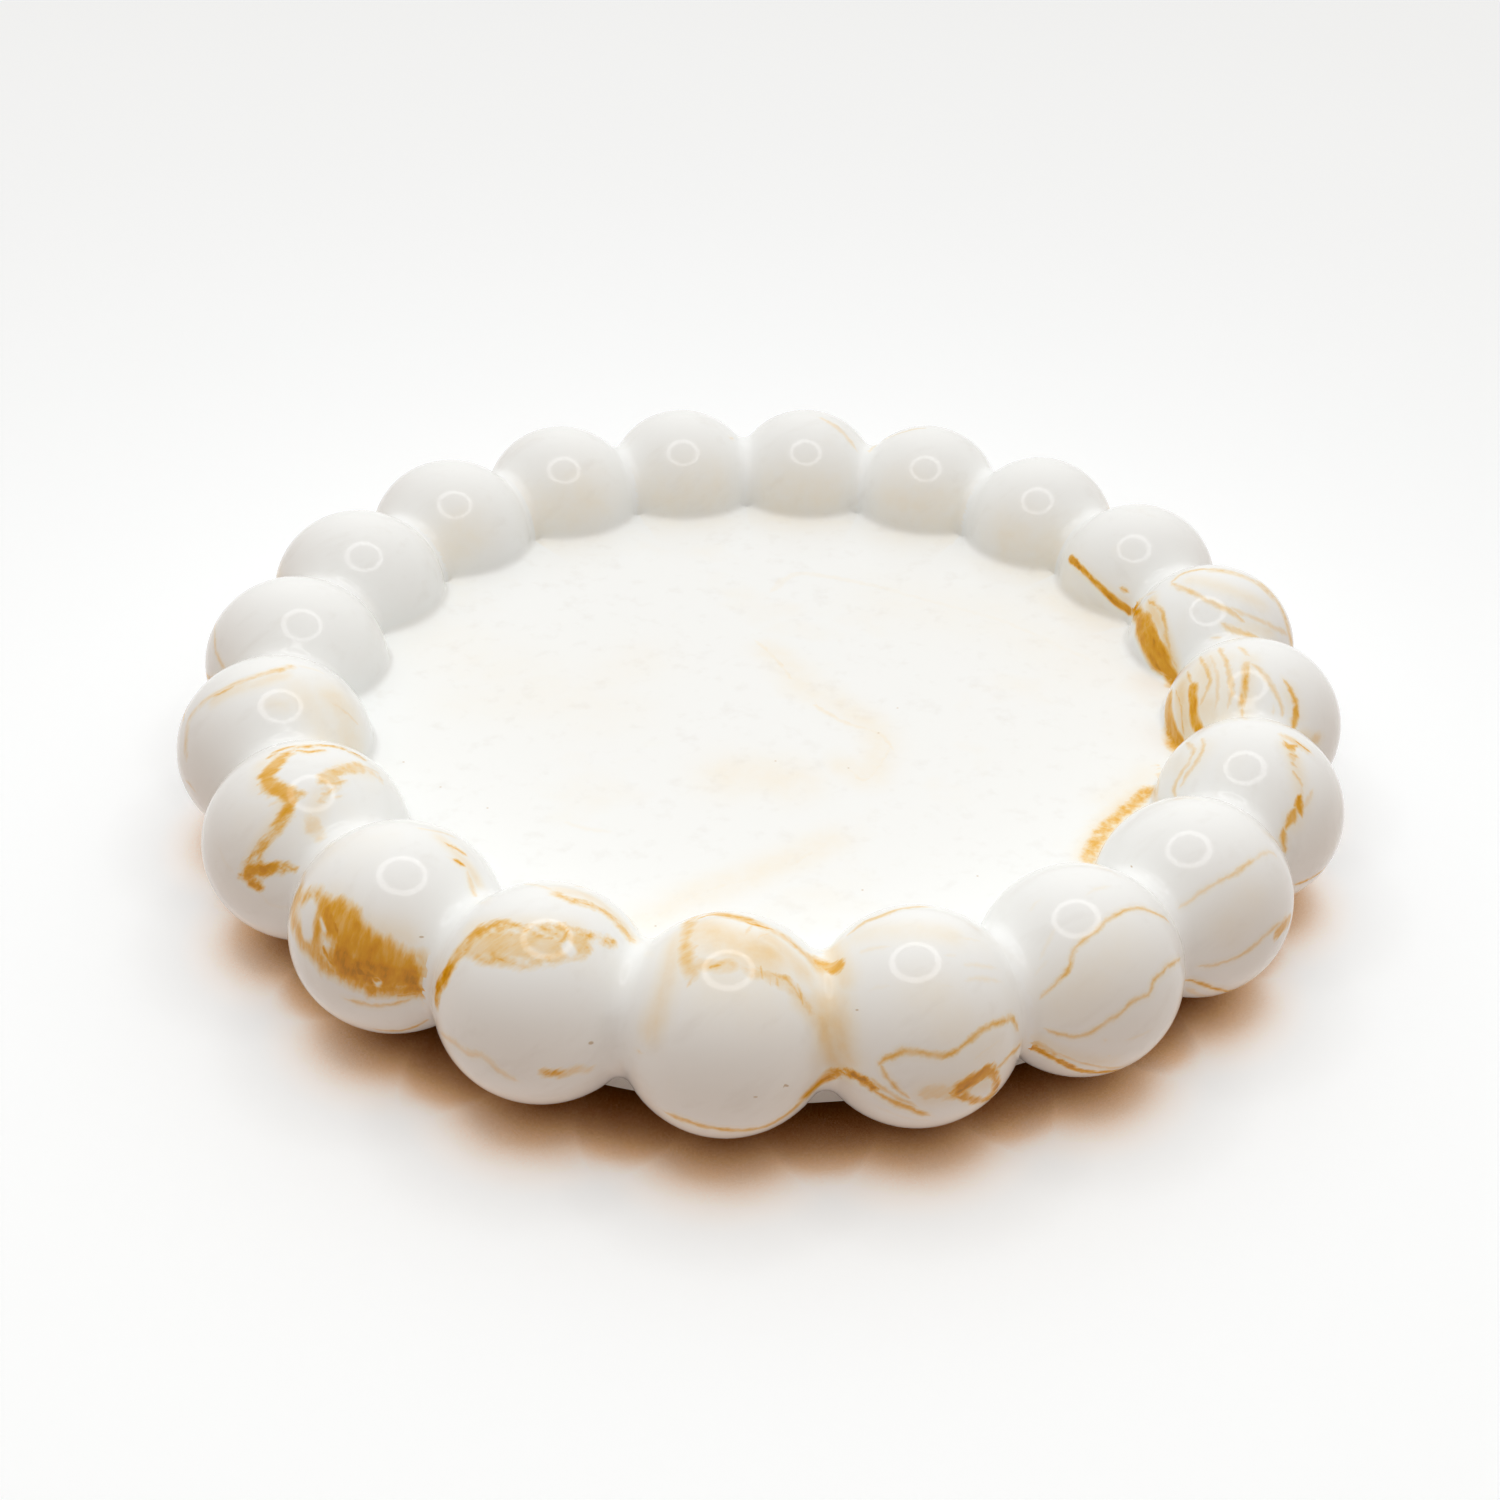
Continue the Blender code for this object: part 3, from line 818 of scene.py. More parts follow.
def stroke_field(points, normals, path, reach):
    """The mesh's points near a path: which they are, and in millimetres how far off to the path's left each
    lies, how far past an end, and how far along it is to the nearer end."""
    low, high = path.min(axis=0) - reach, path.max(axis=0) + reach
    near = np.nonzero(((points > low) & (points < high)).all(axis=1))[0]
    start, along = path[:-1], np.diff(path, axis=0)
    length = np.linalg.norm(along, axis=1)
    along = along / np.maximum(length, SHORTEST)[:, None]
    offset = points[near, None, :] - start[None]
    t = np.einsum("psk,sk->ps", offset, along)
    gap = np.linalg.norm(offset - np.clip(t, 0.0, length)[..., None] * along, axis=2)
    best = gap.argmin(axis=1)
    index = np.arange(len(near))
    gap, t = gap[index, best], t[index, best]
    past = np.where(best == 0, np.maximum(-t, 0.0), 0.0)
    past = np.maximum(past, np.where(best == len(start) - 1, t - length[-1], 0.0))
    across = np.sqrt(np.maximum(gap**2 - past**2, 0.0))
    side = np.einsum("pk,pk->p", np.cross(along[best], offset[index, best]), normals[near])
    run = (np.cumsum(length) - length)[best] + np.clip(t, 0.0, length[best])
    to_end = np.minimum(run, length.sum() - run)
    kept = gap < reach
    return near[kept], (np.sign(side) * across / MM)[kept], (past / MM)[kept], (to_end / MM)[kept]


# How the hidden veins wander: the length of a step, how far round the ring from its bead's middle and how
# many millimetres up or down one may start, how steeply it may set out, how fast it may bend, how much it
# trembles and how far up or down it may stray. The rays that find the surface start outside and lean back.
HIDDEN_SEED = 7
HIDDEN_STEP = 2 * MM
HIDDEN_TURN = 0.10
HIDDEN_RISE = 7.0
HIDDEN_HEADING = 0.8
HIDDEN_BEND = 0.10
HIDDEN_TREMBLE = 0.14
HIDDEN_HIGHEST = 9 * MM
HIDDEN_RAY_START = RING_RADIUS + BEAD_RADIUS + 5 * MM
HIDDEN_RAY_LEAN = 0.25

# Veins on the outer sides at the back: bead, kind, depth, half width in millimetres and length
HIDDEN_VEINS = (
    ("H", "line", 0.62, 0.32, 0.022),
    ("I", "line", 0.34, 0.26, 0.018),
    ("I", "line", 0.58, 0.32, 0.026),
    ("J", "line", 0.24, 0.30, 0.016),
    ("K", "line", 0.52, 0.34, 0.024),
    ("L", "line", 0.29, 0.26, 0.014),
    ("M", "line", 0.64, 0.36, 0.028),
    ("N", "line", 0.40, 0.28, 0.020),
    ("O", "line", 0.58, 0.34, 0.024),
    ("P", "line", 0.70, 0.38, 0.026),
    ("P", "line", 0.34, 0.26, 0.018),
    ("G", "line", 0.66, 0.42, 0.014),
    ("K", "line", 0.50, 0.36, 0.010),
    ("P", "line", 0.70, 0.46, 0.012),
    ("O", "wash", 0.20, 2.20, 0.016),
    ("L", "wash", 0.16, 2.60, 0.020),
    ("I", "wash", 0.16, 2.20, 0.016),
)


def hidden_strokes(tree):
    """Veins for the sides that the photograph doesn't show, in the manner of those that it does."""
    rng = np.random.default_rng(HIDDEN_SEED)
    strokes = []
    for bead, kind, depth, width, length in HIDDEN_VEINS:
        turn = 2 * HALF_ANGLE * BEAD_LETTERS.index(bead) - pi / 2 + rng.uniform(-HIDDEN_TURN, HIDDEN_TURN)
        rise = rng.uniform(-HIDDEN_RISE, HIDDEN_RISE) * MM
        heading = rng.uniform(-HIDDEN_HEADING, HIDDEN_HEADING)
        bend = rng.uniform(-HIDDEN_BEND, HIDDEN_BEND)
        points = []
        for _ in range(round(length / HIDDEN_STEP) + 1):
            start = Vector((HIDDEN_RAY_START * cos(turn), HIDDEN_RAY_START * sin(turn), BEAD_Z + rise))
            aim = Vector((-cos(turn), -sin(turn), -HIDDEN_RAY_LEAN * rise / BEAD_RADIUS))
            hit = tree.ray_cast(start, aim.normalized())[0]
            if hit is not None:
                points.append(hit)
            heading += bend + rng.normal(0.0, HIDDEN_TREMBLE)
            turn += HIDDEN_STEP * cos(heading) / (RING_RADIUS + BEAD_RADIUS)
            rise = min(max(rise + HIDDEN_STEP * sin(heading), -HIDDEN_HIGHEST), HIDDEN_HIGHEST)
        if len(points) > 2:
            strokes.append((kind, BEAD_LETTERS, depth, width, points))
    return strokes


def gather_strokes(tree):
    """Every stroke as its kind, place, depth, half width in millimetres and path."""
    strokes = []
    pinholes = {place: [(1.0, *row) for row in rows] for place, rows in PINHOLES.items()}
    tables = {"line": LINES, "band": BANDS, "wash": WASHES, "fleck": CLEAR_FLECKS, "pinhole": pinholes}
    for kind, table in tables.items():
        for place, rows in table.items():
            for depth, width, *pixels in rows:
                points = [on_surface(tree, place, pixel) for pixel in pixels]
                strokes.append((kind, place, depth, width, points))
    strokes += hidden_strokes(tree)
    return [(*stroke, smooth_path(tree, points)) for *stroke, points in strokes]


def roomiest_layer(layers, path):
    """The layer of lines whose nearest line lies furthest from this path."""
    rooms = []
    for layer in layers:
        gaps = [np.linalg.norm(path[:, None] - other[None], axis=2).min() for other in layer]
        rooms.append(min(gaps, default=inf))
    return rooms.index(max(rooms))


def paint_veins(casting):
    """Keeps the marbling on the casting's points as attributes, which the material turns into colour.

    line_1 and on: the distance across the nearest line of that layer, its half width there, and its depth.
    band: how far inside a band a point lies, measured by the softness of its edge, the band's depth, and how
    far it is cleared. wash: how much pigment clouds the white, and how ragged bands are, measured likewise.
    pinhole: how far off the nearest one is, in its own widths and lengths. flow: the point's place, squeezed
    along the way in which the pigment was drawn out.
    """
    mesh = casting.data
    graph = bpy.context.evaluated_depsgraph_get()
    tree = BVHTree.FromObject(casting, graph)
    count = len(mesh.vertices)
    points = np.empty(count * 3)
    normals = np.empty(count * 3)
    mesh.vertices.foreach_get("co", points)
    mesh.vertex_normals.foreach_get("vector", normals)
    points, normals = points.reshape(-1, 3), normals.reshape(-1, 3)
    lines = np.tile((FAR_OFF, -FAR_OFF, 0.0), (LINE_LAYERS, count, 1))
    line_score = np.full((LINE_LAYERS, count), -inf)
    band = np.tile((-BAND_REACH / MM, 0.0), (count, 1))
    wash = np.zeros(count)
    fleck = np.zeros(count)
    pinhole = np.full((count, 3), FAR_OFF)
    beads = bead_numbers(points)
    layers = [[] for _ in range(LINE_LAYERS)]
    for kind, place, depth, width, path in gather_strokes(tree):
        reach = {"wash": WASH_REACH * width * MM, "band": BAND_REACH + width * MM}.get(kind, LINE_REACH)
        near, across, past, to_end = stroke_field(points, normals, path, reach)
        own = of_place(place, points[near])
        near, across, past, to_end = near[own], across[own], past[own], to_end[own]
        off = np.hypot(across, past)
        if kind == "line":
            layer = roomiest_layer(layers, path)
            layers[layer].append(path)
            half = width * np.minimum(1.0, TIP_SHARE + (1 - TIP_SHARE) * to_end / TIP_LENGTH) - past
            half -= LINE_FALL * np.maximum(0.0, np.abs(across) - width - LINE_MARGIN)
            score = half - np.abs(across)
            better = score > line_score[layer, near]
            line_score[layer, near[better]] = score[better]
            kept = np.stack([across, half, np.full_like(half, depth)], axis=1)
            lines[layer, near[better]] = kept[better]
        elif kind == "band":
            inside = width - off
            better = inside > band[near, 0]
            band[near[better]] = np.stack([inside, np.full_like(inside, depth)], axis=1)[better]
        elif kind == "pinhole":
            along = path[-1] - path[0]
            length = np.linalg.norm(along)
            along = (points[near] - path.mean(axis=0)) @ along / length / (length / 2 + width * MM)
            pinhole[near] = np.stack([across / width, along, np.zeros_like(along)], axis=1)
        else:
            cloud = depth * np.exp(-((off / width) ** 2) * (WASH_FALL if kind == "wash" else FLECK_FALL))
            field = wash if kind == "wash" else fleck
            field[near] = np.maximum(field[near], cloud)
    for name, line in zip(LINE_NAMES, lines):
        keep_vector(mesh, name, line)
    edges = np.array([BAND_EDGES.get(letter, BAND_EDGES["other"]) for letter in BEAD_LETTERS])[beads]
    edges[of_place("floor", points)] = BAND_EDGES["floor"]
    keep_vector(mesh, "band", np.column_stack([band[:, 0] / edges[:, 1], band[:, 1], fleck]))
    keep_vector(mesh, "wash", np.column_stack([wash, edges[:, 0] / edges[:, 1], wash]))
    keep_vector(mesh, "pinhole", pinhole)
    _, right, top = camera_axes()
    flows = [FLOWS.get(letter, FLOW) for letter in BEAD_LETTERS]
    flows = np.array([(right * x + top * y).normalized() for x, y in flows])[beads]
    along = np.where(of_place("floor", points), 0.0, np.einsum("pk,pk->p", points, flows))
    keep_vector(mesh, "flow", points - flows * (along * (1 - 1 / FLOW_STRETCH))[:, None])


def keep_vector(mesh, name, values):
    """Keeps three numbers for each of a mesh's points."""
    attribute = mesh.attributes.new(name, "FLOAT_VECTOR", "POINT")
    attribute.data.foreach_set("vector", np.ascontiguousarray(values, np.float32).ravel())


# Polished cast resin: white mineral-filled polyester, with gold pigment swirled in as it was poured, sanded
# and buffed to a gloss. It gives the eye feathered golden veins under a clear shine. Its colours run from
# clear white to the deepest gold, which is DEEPEST times full gold.
DEEPEST = 1.25
PIGMENTS = (
    (0.00, "F7FAFA"),
    (0.08, "F7F4EA"),
    (0.20, "F5E7CD"),
    (0.34, "F2D5A0"),
    (0.48, "EEBD64"),
    (0.64, "E6A716"),
    (0.80, "DA9400"),
    (0.88, "C88A00"),
    (1.00, "BE7E00"),
)
GREY_CLOUDS = ((0.0, "FAF9F8"), (0.40, "FFFFFF"), (1.0, "FFFFFF"))

# The painted shade in a pinhole's hollow, which sets in and is full at these shares of the hole's size, and a
# fleck's depth where it begins to clear a band and where it leaves no more than FLECK_LEFT of it
PINHOLE_PAINTED_SHADE = "D2C3AC"
PINHOLE_FROM = 1.3
PINHOLE_TO = 0.6
FLECK_FROM = 0.15
FLECK_TO = 0.6
FLECK_LEFT = 0.12

# Its gloss, over the faint waves that polishing leaves
RESIN_IOR = 1.5
RESIN_SPECULAR = 0.32
RIPPLE_STRENGTH = 0.3
RIPPLE_HEIGHT = 0.03 * MM

# Its patterns: whether each is drawn out along the flow, the size of its features in millimetres, its detail,
# and its low and high values. Noise mostly keeps between NOISE_LOW and NOISE_HIGH, which become these two.
NOISE_LOW = 0.25
NOISE_HIGH = 0.75
NOISE_ROUGHNESS = 0.6
PATTERNS = {
    "wander": (False, 3.0, 3.0, -0.22, 0.22),
    "tremble": (False, 0.9, 3.0, -0.13, 0.13),
    "swell": (True, 1.2, 4.0, 0.45, 1.40),
    "strength": (True, 1.6, 4.0, 0.58, 1.18),
    "ragged": (True, 1.7, 4.0, -0.95, 0.95),
    "feather": (True, 0.45, 3.0, -0.30, 0.30),
    "streak": (True, 0.85, 4.0, 0.70, 1.22),
    "mottle": (True, 2.6, 3.0, 0.74, 1.18),
    "cloud": (False, 4.0, 4.0, 0.55, 1.30),
    "haze": (False, 16.0, 3.0, -0.06, 0.035),
    "grey": (True, 3.0, 5.0, 0.0, 1.0),
    "sheen": (False, 6.0, 3.0, 0.045, 0.075),
    "ripple": (False, 6.0, 2.0, 0.0, 1.0),
}


def marbled_resin():
    """The casting's finish: the kept strokes, made ragged by the patterns, are pigment in glossy white, save
    the pinholes, which are painted shade, and the line marked as painted shadow.
    """
    material, tree, shader = new_material("polished_marbled_cast_resin")
    place = add_node(tree, "ShaderNodeTexCoord").outputs["Object"]
    held = {}
    for name in ("flow", "band", "wash", "pinhole", *LINE_NAMES):
        held[name] = add_node(tree, "ShaderNodeAttribute", attribute_name=name).outputs["Vector"]
    pattern = {}
    for name, (drawn_out, feature, detail, low, high) in PATTERNS.items():
        swirl = {"Vector": held["flow"] if drawn_out else place, "Scale": 1 / (feature * MM)}
        swirl |= {"Detail": detail, "Roughness": NOISE_ROUGHNESS}
        spread = {"Value": add_node(tree, "ShaderNodeTexNoise", swirl)}
        spread |= {"From Min": NOISE_LOW, "From Max": NOISE_HIGH, "To Min": low, "To Max": high}
        pattern[name] = add_node(tree, "ShaderNodeMapRange", spread, clamp=False)
    wander = add_node(tree, "ShaderNodeMath", {0: pattern["wander"], 1: pattern["tremble"]}, operation="ADD")
    amounts = []
    for name in LINE_NAMES:
        across, half, depth = add_node(tree, "ShaderNodeSeparateXYZ", {0: held[name]}).outputs
        across = add_node(tree, "ShaderNodeMath", {0: across, 1: wander}, operation="ADD")
        across = add_node(tree, "ShaderNodeMath", {0: across}, operation="ABSOLUTE")
        half = add_node(tree, "ShaderNodeMath", {0: half, 1: pattern["swell"]}, operation="MULTIPLY")
        inside = add_node(tree, "ShaderNodeMath", {0: half, 1: across}, operation="SUBTRACT")
        edges = {"Value": inside, "From Min": -LINE_SOFTNESS, "From Max": LINE_SOFTNESS}
        edge = add_node(tree, "ShaderNodeMapRange", edges, interpolation_type="SMOOTHSTEP")
        halos = {"Value": inside, "From Min": -HALO_REACH, "From Max": 0.0, "To Max": HALO_SHARE}
        halo = add_node(tree, "ShaderNodeMapRange", halos, interpolation_type="SMOOTHSTEP")
        body = add_node(tree, "ShaderNodeMath", {0: edge, 1: halo}, operation="MAXIMUM")
        for factor in (depth, pattern["strength"]):
            body = add_node(tree, "ShaderNodeMath", {0: body, 1: factor}, operation="MULTIPLY")
        amounts.append(body)
    inside, depth, fleck = add_node(tree, "ShaderNodeSeparateXYZ", {0: held["band"]}).outputs
    wash, raggedness, _ = add_node(tree, "ShaderNodeSeparateXYZ", {0: held["wash"]}).outputs
    edge = add_node(tree, "ShaderNodeMath", {0: pattern["ragged"], 1: pattern["feather"]}, operation="ADD")
    rough_edge = {0: edge, 1: raggedness, 2: inside}
    inside = add_node(tree, "ShaderNodeMath", rough_edge, operation="MULTIPLY_ADD")
    edges = {"Value": inside, "From Min": -1.0, "From Max": 1.0}
    body = add_node(tree, "ShaderNodeMapRange", edges, interpolation_type="SMOOTHSTEP")
    cleared = {"Value": fleck, "From Min": FLECK_FROM, "From Max": FLECK_TO}
    cleared |= {"To Min": 1.0, "To Max": FLECK_LEFT}
    cleared = add_node(tree, "ShaderNodeMapRange", cleared, interpolation_type="SMOOTHSTEP")
    for factor in (depth, pattern["streak"], pattern["mottle"], cleared):
        body = add_node(tree, "ShaderNodeMath", {0: body, 1: factor}, operation="MULTIPLY")
    amounts.append(body)
    amounts.append(add_node(tree, "ShaderNodeMath", {0: wash, 1: pattern["cloud"]}, operation="MULTIPLY"))
    pigment = pattern["haze"]
    for amount in amounts:
        pigment = add_node(tree, "ShaderNodeMath", {0: pigment, 1: amount}, operation="MAXIMUM")
    share = add_node(tree, "ShaderNodeMath", {0: pigment, 1: DEEPEST}, operation="DIVIDE")
    colour = add_node(tree, "ShaderNodeValToRGB", {0: share}, stops=PIGMENTS)
    greys = add_node(tree, "ShaderNodeValToRGB", {0: pattern["grey"]}, stops=GREY_CLOUDS)
    colours = {0: 1.0, 6: colour, 7: greys}
    colour = add_node(tree, "ShaderNodeMix", colours, data_type="RGBA", blend_type="MULTIPLY").outputs[2]
    # Pinholes: painted shade where a cut bubble's hollow would be
    off = add_node(tree, "ShaderNodeVectorMath", {0: held["pinhole"]}, operation="LENGTH").outputs["Value"]
    hollow = {"Value": off, "From Min": PINHOLE_FROM, "From Max": PINHOLE_TO}
    hollow = add_node(tree, "ShaderNodeMapRange", hollow, interpolation_type="SMOOTHSTEP")
    colours = {0: hollow, 6: colour, 7: srgb(PINHOLE_PAINTED_SHADE)}
    colour = add_node(tree, "ShaderNodeMix", colours, data_type="RGBA")
    tree.links.new(colour.outputs[2], shader.inputs["Base Color"])
    tree.links.new(pattern["sheen"].outputs[0], shader.inputs["Roughness"])
    ripple = {"Height": pattern["ripple"], "Strength": RIPPLE_STRENGTH, "Distance": RIPPLE_HEIGHT}
    bump = add_node(tree, "ShaderNodeBump", ripple)
    tree.links.new(bump.outputs[0], shader.inputs["Normal"])
    shader.inputs["IOR"].default_value = RESIN_IOR
    shader.inputs["Specular IOR Level"].default_value = RESIN_SPECULAR
    return material


# The stick-on feet: clear moulded polyurethane discs, each on a disc of clear adhesive. Either has a lower edge
# rounded to a radius in some steps. The foot's lower face is dished, inside a flat rim that is one part in
# RIM_PARTS of its radius. A face whose normal's z is under the last two looks down, or lies flat.
BUMPER_PLACES = ("front_left", "front_right", "rear_right", "rear_left")
BUMPER_SIDES = 64
BUMPER_EDGE = (0.0006, 6)
BUMPER_DISH = 0.00012
GLUE_HEIGHT = 0.0003
GLUE_STEP_IN = 0.0003
GLUE_EDGE = (0.00004, 1)
RIM_PARTS = 3
FACES_DOWN = -0.9
LIES_FLAT = -0.999

# Their finishes, with the sizes of the dust, waves and bubbles in them
RUBBER_MILK = ("F4F5F3", "E4E5E0")
RUBBER_CLEAR = 0.12
RUBBER_IOR = 1.5
RUBBER_GLOSSY = 0.16
RUBBER_DULL = 0.30
DUST = 1.5 * MM
DUST_LOW = 0.3
DUST_HIGH = 0.7
WAVES = 2.5 * MM
WAVE_STRENGTH = 0.4
WAVE_HEIGHT = 0.02 * MM
GLUE_FILM = ("E6E5DE", "F7F7F4")
GLUE_ROUGHNESS = 0.35
BUBBLES = 0.6 * MM
BUBBLE_CORE = 0.10
BUBBLE_RIM = 0.25


def make_disc(name, node, radius, low, high, edge, dish):
    """A round disc over a bumper's place, with its lower edge rounded and its lower face dished a little."""
    middle = np.array(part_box(node)).mean(axis=0)
    place = (middle[0], middle[1], (low + high) / 2)
    deselect_all()
    sizes = {"vertices": BUMPER_SIDES, "radius": radius, "depth": high - low}
    bpy.ops.mesh.primitive_cylinder_add(location=place, **sizes)
    bpy.ops.object.transform_apply(location=True, rotation=True, scale=True)
    disc = shape(name)
    bpy.ops.object.mode_set(mode="EDIT")
    bpy.ops.mesh.select_mode(type="FACE")
    bpy.ops.mesh.select_all(action="DESELECT")
    bpy.ops.object.mode_set(mode="OBJECT")
    for face in disc.data.polygons:
        face.select = face.normal.z < FACES_DOWN
    bpy.ops.object.mode_set(mode="EDIT")
    bpy.ops.mesh.bevel(offset=edge[0], segments=edge[1], affect="EDGES")
    bpy.ops.object.mode_set(mode="OBJECT")
    for face in disc.data.polygons:
        face.select = face.normal.z < LIES_FLAT and face.area > radius**2
    bpy.ops.object.mode_set(mode="EDIT")
    bpy.ops.mesh.inset(thickness=radius / RIM_PARTS)
    bpy.ops.transform.translate(value=(0.0, 0.0, dish))
    bpy.ops.object.mode_set(mode="OBJECT")
    bpy.ops.object.shade_smooth_by_angle(angle=SMOOTH_ANGLE)
    return disc


def make_bumpers():
    """The four feet, each a bumper in its CAD node's place and the adhesive between it and the casting."""
    rubber, glue = clear_polyurethane(), clear_adhesive()
    for place in BUMPER_PLACES:
        node = f"bumper_{place}"
        low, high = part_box(node)
        radius = (high[0] - low[0]) / 2
        bumper = make_disc(f"rubber_{place}", node, radius, low[2], high[2], BUMPER_EDGE, BUMPER_DISH)
        bumper.data.materials.append(rubber)
        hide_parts(node)
        radius, top = radius - GLUE_STEP_IN, high[2] + GLUE_HEIGHT
        disc = make_disc(f"adhesive_{place}", node, radius, high[2], top, GLUE_EDGE, 0.0)
        disc.data.materials.append(glue)


def clear_polyurethane():
    """Soft clear moulded polyurethane. It looks milky on the white base, with fine waves and dust on it."""
    material, tree, shader = new_material("clear_polyurethane")
    place = add_node(tree, "ShaderNodeTexCoord").outputs["Object"]
    dust = add_node(tree, "ShaderNodeTexNoise", {"Vector": place, "Scale": 1 / DUST, "Detail": 4.0})
    clean, dusty = RUBBER_MILK
    milky = {0: dust, 6: srgb(clean), 7: srgb(dusty)}
    milky = add_node(tree, "ShaderNodeMix", milky, data_type="RGBA")
    tree.links.new(milky.outputs[2], shader.inputs["Base Color"])
    rough = {"Value": dust, "From Min": DUST_LOW, "From Max": DUST_HIGH}
    rough |= {"To Min": RUBBER_GLOSSY, "To Max": RUBBER_DULL}
    rough = add_node(tree, "ShaderNodeMapRange", rough)
    tree.links.new(rough.outputs[0], shader.inputs["Roughness"])
    waves = add_node(tree, "ShaderNodeTexNoise", {"Vector": place, "Scale": 1 / WAVES, "Detail": 1.0})
    waves = {"Height": waves, "Strength": WAVE_STRENGTH, "Distance": WAVE_HEIGHT}
    tree.links.new(add_node(tree, "ShaderNodeBump", waves).outputs[0], shader.inputs["Normal"])
    shader.inputs["Transmission Weight"].default_value = RUBBER_CLEAR
    shader.inputs["IOR"].default_value = RUBBER_IOR
    return material


def clear_adhesive():
    """Acrylic adhesive, laid as a film. It looks hazy, with tiny trapped bubbles."""
    material, tree, shader = new_material("clear_acrylic_adhesive")
    place = add_node(tree, "ShaderNodeTexCoord").outputs["Object"]
    bubbles = add_node(tree, "ShaderNodeTexVoronoi", {"Vector": place, "Scale": 1 / BUBBLES})
    spots = {"Value": bubbles.outputs["Distance"], "From Min": BUBBLE_CORE, "From Max": BUBBLE_RIM}
    spots = add_node(tree, "ShaderNodeMapRange", spots | {"To Min": 1.0, "To Max": 0.0})
    haze, bubble = GLUE_FILM
    film = add_node(tree, "ShaderNodeMix", {0: spots, 6: srgb(haze), 7: srgb(bubble)}, data_type="RGBA")
    tree.links.new(film.outputs[2], shader.inputs["Base Color"])
    shader.inputs["Roughness"].default_value = GLUE_ROUGHNESS
    return material


def camera_axes():
    """The directions in which the camera looks, and its right and its top."""
    aside, ahead = sin(CAMERA_YAW), cos(CAMERA_YAW)
    forward = Vector((aside * cos(CAMERA_PITCH), ahead * cos(CAMERA_PITCH), -sin(CAMERA_PITCH)))
    level = Vector((ahead, -aside, 0.0))
    upright = level.cross(forward)
    right = level * cos(CAMERA_ROLL) + upright * sin(CAMERA_ROLL)
    return forward, right, upright * cos(CAMERA_ROLL) - level * sin(CAMERA_ROLL)


def make_camera():
    """The photograph's camera: its place, its aim and its roll, with the shift that its framing needs."""
    forward, right, top = camera_axes()
    lens = bpy.data.cameras.new("camera")
    lens.sensor_width = SENSOR_MM
    lens.lens = SENSOR_MM * FOCAL_PIXELS / PHOTO_SIDE
    lens.shift_x = (PHOTO_SIDE / 2 - CENTRE_X) / PHOTO_SIDE
    lens.shift_y = (CENTRE_Y - PHOTO_SIDE / 2) / PHOTO_SIDE
    lens.clip_start = CLIP_START
    camera = bpy.data.objects.new("camera", lens)
    turned = Matrix((right, top, -forward)).transposed().to_4x4()
    camera.matrix_world = Matrix.Translation(CAMERA_PLACE) @ turned
    bpy.context.scene.collection.objects.link(camera)
    bpy.context.scene.camera = camera


# The table. Its colour is painted shadow: a dark warm amber where it is little open over the nearest
# SHADOW_REACH, as under and round the tray, and the camera's glow carries the same painted shadow. Its colour
# for the light that it throws up at the tray is painted bounce light, brighter near the tray and warmer and
# dimmer further out.
TABLE_SIDE = 6.0
TABLE_ROUGHNESS = 0.9
SHADOW_REACH = 0.010
SHADOW_SAMPLES = 8
PAINTED_SHADOW_TINTS = (
    (0.0, "180800"),
    (0.28, "723A06"),
    (0.52, "E4B684"),
    (0.72, "F8F1EA"),
    (0.90, "F9FAFB"),
    (1.0, "F4F8FB"),
)
PAINTED_BOUNCE_NEAR = "FFF4EF"
PAINTED_BOUNCE_FAR = "D2BBA9"
BOUNCE_FROM = 0.088
BOUNCE_TO = 0.130

# How much the table glows for the camera, nearer to and further from the tray, so that it is as white as in
# the photograph and meets the backdrop without an edge
GLOW_FROM = 0.09
GLOW_TO = 0.45
GLOW_NEAR = 0.130
GLOW_FAR = 0.180

# The ring lamp, found from its mirror images on the beads
RING_LAMP_SIDES = 96
RING_LAMP_RADIUS = 0.104
RING_LAMP_BAND = 0.031
RING_LAMP_PLACE = (-0.0035, -0.022, 0.2825)
RING_LAMP_STRENGTH = 4.38

# The room: its light by height, leaning towards the back, and what the camera sees of it
SKY_STRENGTH = 1.10
SKY_LEAN = 0.40
SKY_STOPS = ((0.0, "402B15"), (0.22, "76583A"), (0.50, "CBC1B5"), (1.0, "FFFFFF"))
BACKDROP = "EEEEED"


def plainly_seen(tree):
    """Whether a ray comes from the camera, straight or by way of a mirroring or clear surface."""
    path = add_node(tree, "ShaderNodeLightPath").outputs
    seen = {0: path["Is Camera Ray"], 1: path["Is Glossy Ray"]}
    seen = {0: add_node(tree, "ShaderNodeMath", seen, operation="MAXIMUM"), 1: path["Is Transmission Ray"]}
    return add_node(tree, "ShaderNodeMath", seen, operation="MAXIMUM").outputs[0]


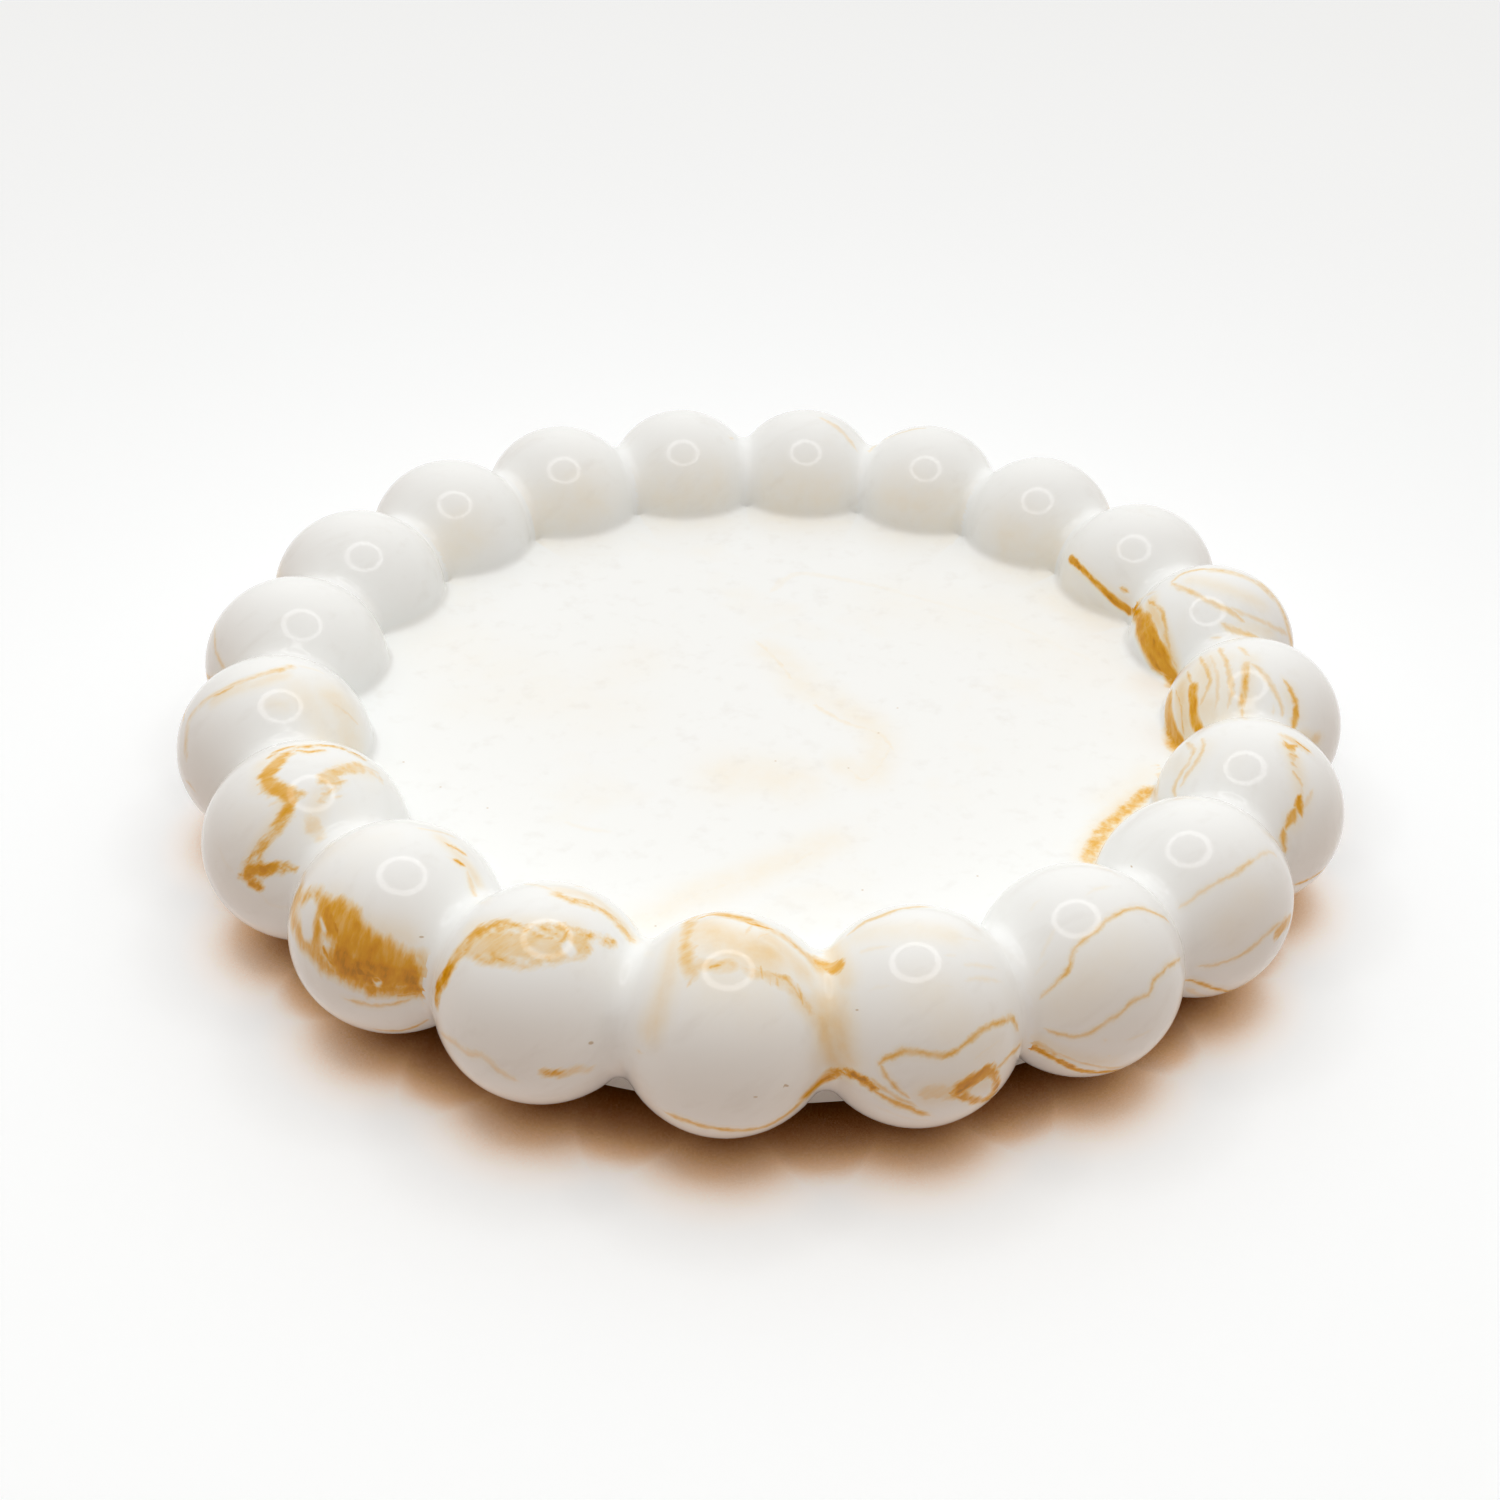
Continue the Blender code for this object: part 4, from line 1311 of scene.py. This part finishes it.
def make_table():
    """A matt white sheet, painted with a warm amber shadow where the tray shades it, and with painted bounce
    light for the tray.
    """
    deselect_all()
    bpy.ops.mesh.primitive_plane_add(size=TABLE_SIDE)
    table = bpy.context.object
    table.name = "table"
    material, tree, shader = new_material("matt_white_table_painted_shadow")
    reach = {"Distance": SHADOW_REACH}
    open_sky = add_node(tree, "ShaderNodeAmbientOcclusion", reach, samples=SHADOW_SAMPLES)
    # Painted shadow: the table's colour turns dark amber where the tray hides its sky
    painted_shadow = add_node(tree, "ShaderNodeValToRGB", {0: open_sky.outputs["AO"]}, stops=PAINTED_SHADOW_TINTS)
    seen = plainly_seen(tree)
    place = add_node(tree, "ShaderNodeTexCoord").outputs["Object"]
    away = add_node(tree, "ShaderNodeVectorMath", {0: place}, operation="LENGTH").outputs["Value"]
    # Painted bounce light: the colour that lights the tray from below is lighter near it and warmer and dimmer
    # further out
    spread = {"Value": away, "From Min": BOUNCE_FROM, "From Max": BOUNCE_TO}
    painted_bounce = {0: add_node(tree, "ShaderNodeMapRange", spread), 6: srgb(PAINTED_BOUNCE_NEAR), 7: srgb(PAINTED_BOUNCE_FAR)}
    painted_bounce = add_node(tree, "ShaderNodeMix", painted_bounce, data_type="RGBA").outputs[2]
    shade = add_node(tree, "ShaderNodeMix", {0: seen, 6: painted_bounce, 7: painted_shadow}, data_type="RGBA")
    tree.links.new(shade.outputs[2], shader.inputs["Base Color"])
    spread = {"Value": away, "From Min": GLOW_FROM, "From Max": GLOW_TO}
    spread |= {"To Min": GLOW_NEAR, "To Max": GLOW_FAR}
    glow = add_node(tree, "ShaderNodeMapRange", spread, interpolation_type="SMOOTHSTEP")
    glow = add_node(tree, "ShaderNodeMath", {0: glow, 1: seen}, operation="MULTIPLY")
    tree.links.new(glow.outputs[0], shader.inputs["Emission Strength"])
    tree.links.new(painted_shadow.outputs[0], shader.inputs["Emission Color"])
    shader.inputs["Roughness"].default_value = TABLE_ROUGHNESS
    shader.inputs["Specular IOR Level"].default_value = 0.0
    table.data.materials.append(material)


def make_ring_lamp():
    """A flat ring of light, seen only by what it lights and what mirrors it."""
    deselect_all()
    outer = RING_LAMP_RADIUS + RING_LAMP_BAND / 2
    bpy.ops.mesh.primitive_circle_add(vertices=RING_LAMP_SIDES, radius=outer, fill_type="NGON")
    lamp = bpy.context.object
    lamp.name = "ring_lamp"
    bpy.ops.object.mode_set(mode="EDIT")
    bpy.ops.mesh.select_all(action="SELECT")
    bpy.ops.mesh.inset(thickness=RING_LAMP_BAND)
    bpy.ops.mesh.delete(type="FACE")
    bpy.ops.object.mode_set(mode="OBJECT")
    lamp.location = RING_LAMP_PLACE
    material = bpy.data.materials.new("ring_lamp")
    material.use_nodes = True
    tree = material.node_tree
    tree.nodes.clear()
    glow = add_node(tree, "ShaderNodeEmission", {"Strength": RING_LAMP_STRENGTH})
    add_node(tree, "ShaderNodeOutputMaterial", {"Surface": glow})
    lamp.data.materials.append(material)
    lamp.visible_camera = False
    lamp.visible_shadow = False


def make_world():
    """A white room, brightest overhead and darkest low in front. Camera and gloss see a plain backdrop."""
    world = bpy.data.worlds.new("white_room")
    bpy.context.scene.world = world
    world.use_nodes = True
    tree = world.node_tree
    tree.nodes.clear()
    aim = add_node(tree, "ShaderNodeTexCoord").outputs["Generated"]
    aim = add_node(tree, "ShaderNodeSeparateXYZ", {0: aim})
    lean = {0: aim.outputs[1], 1: SKY_LEAN, 2: aim.outputs[2]}
    lean = add_node(tree, "ShaderNodeMath", lean, operation="MULTIPLY_ADD")
    level = add_node(tree, "ShaderNodeValToRGB", {0: lean}, stops=SKY_STOPS)
    soft = add_node(tree, "ShaderNodeBackground", {"Color": level, "Strength": SKY_STRENGTH})
    white = add_node(tree, "ShaderNodeBackground", {"Color": srgb(BACKDROP), "Strength": 1.0})
    mix = add_node(tree, "ShaderNodeMixShader", {0: plainly_seen(tree), 1: soft, 2: white})
    add_node(tree, "ShaderNodeOutputWorld", {"Surface": mix})


bpy.context.scene.view_settings.view_transform = "Standard"
make_camera()
make_table()
make_ring_lamp()
make_world()
casting = make_casting()
paint_veins(casting)
casting.data.materials.append(marbled_resin())
make_bumpers()
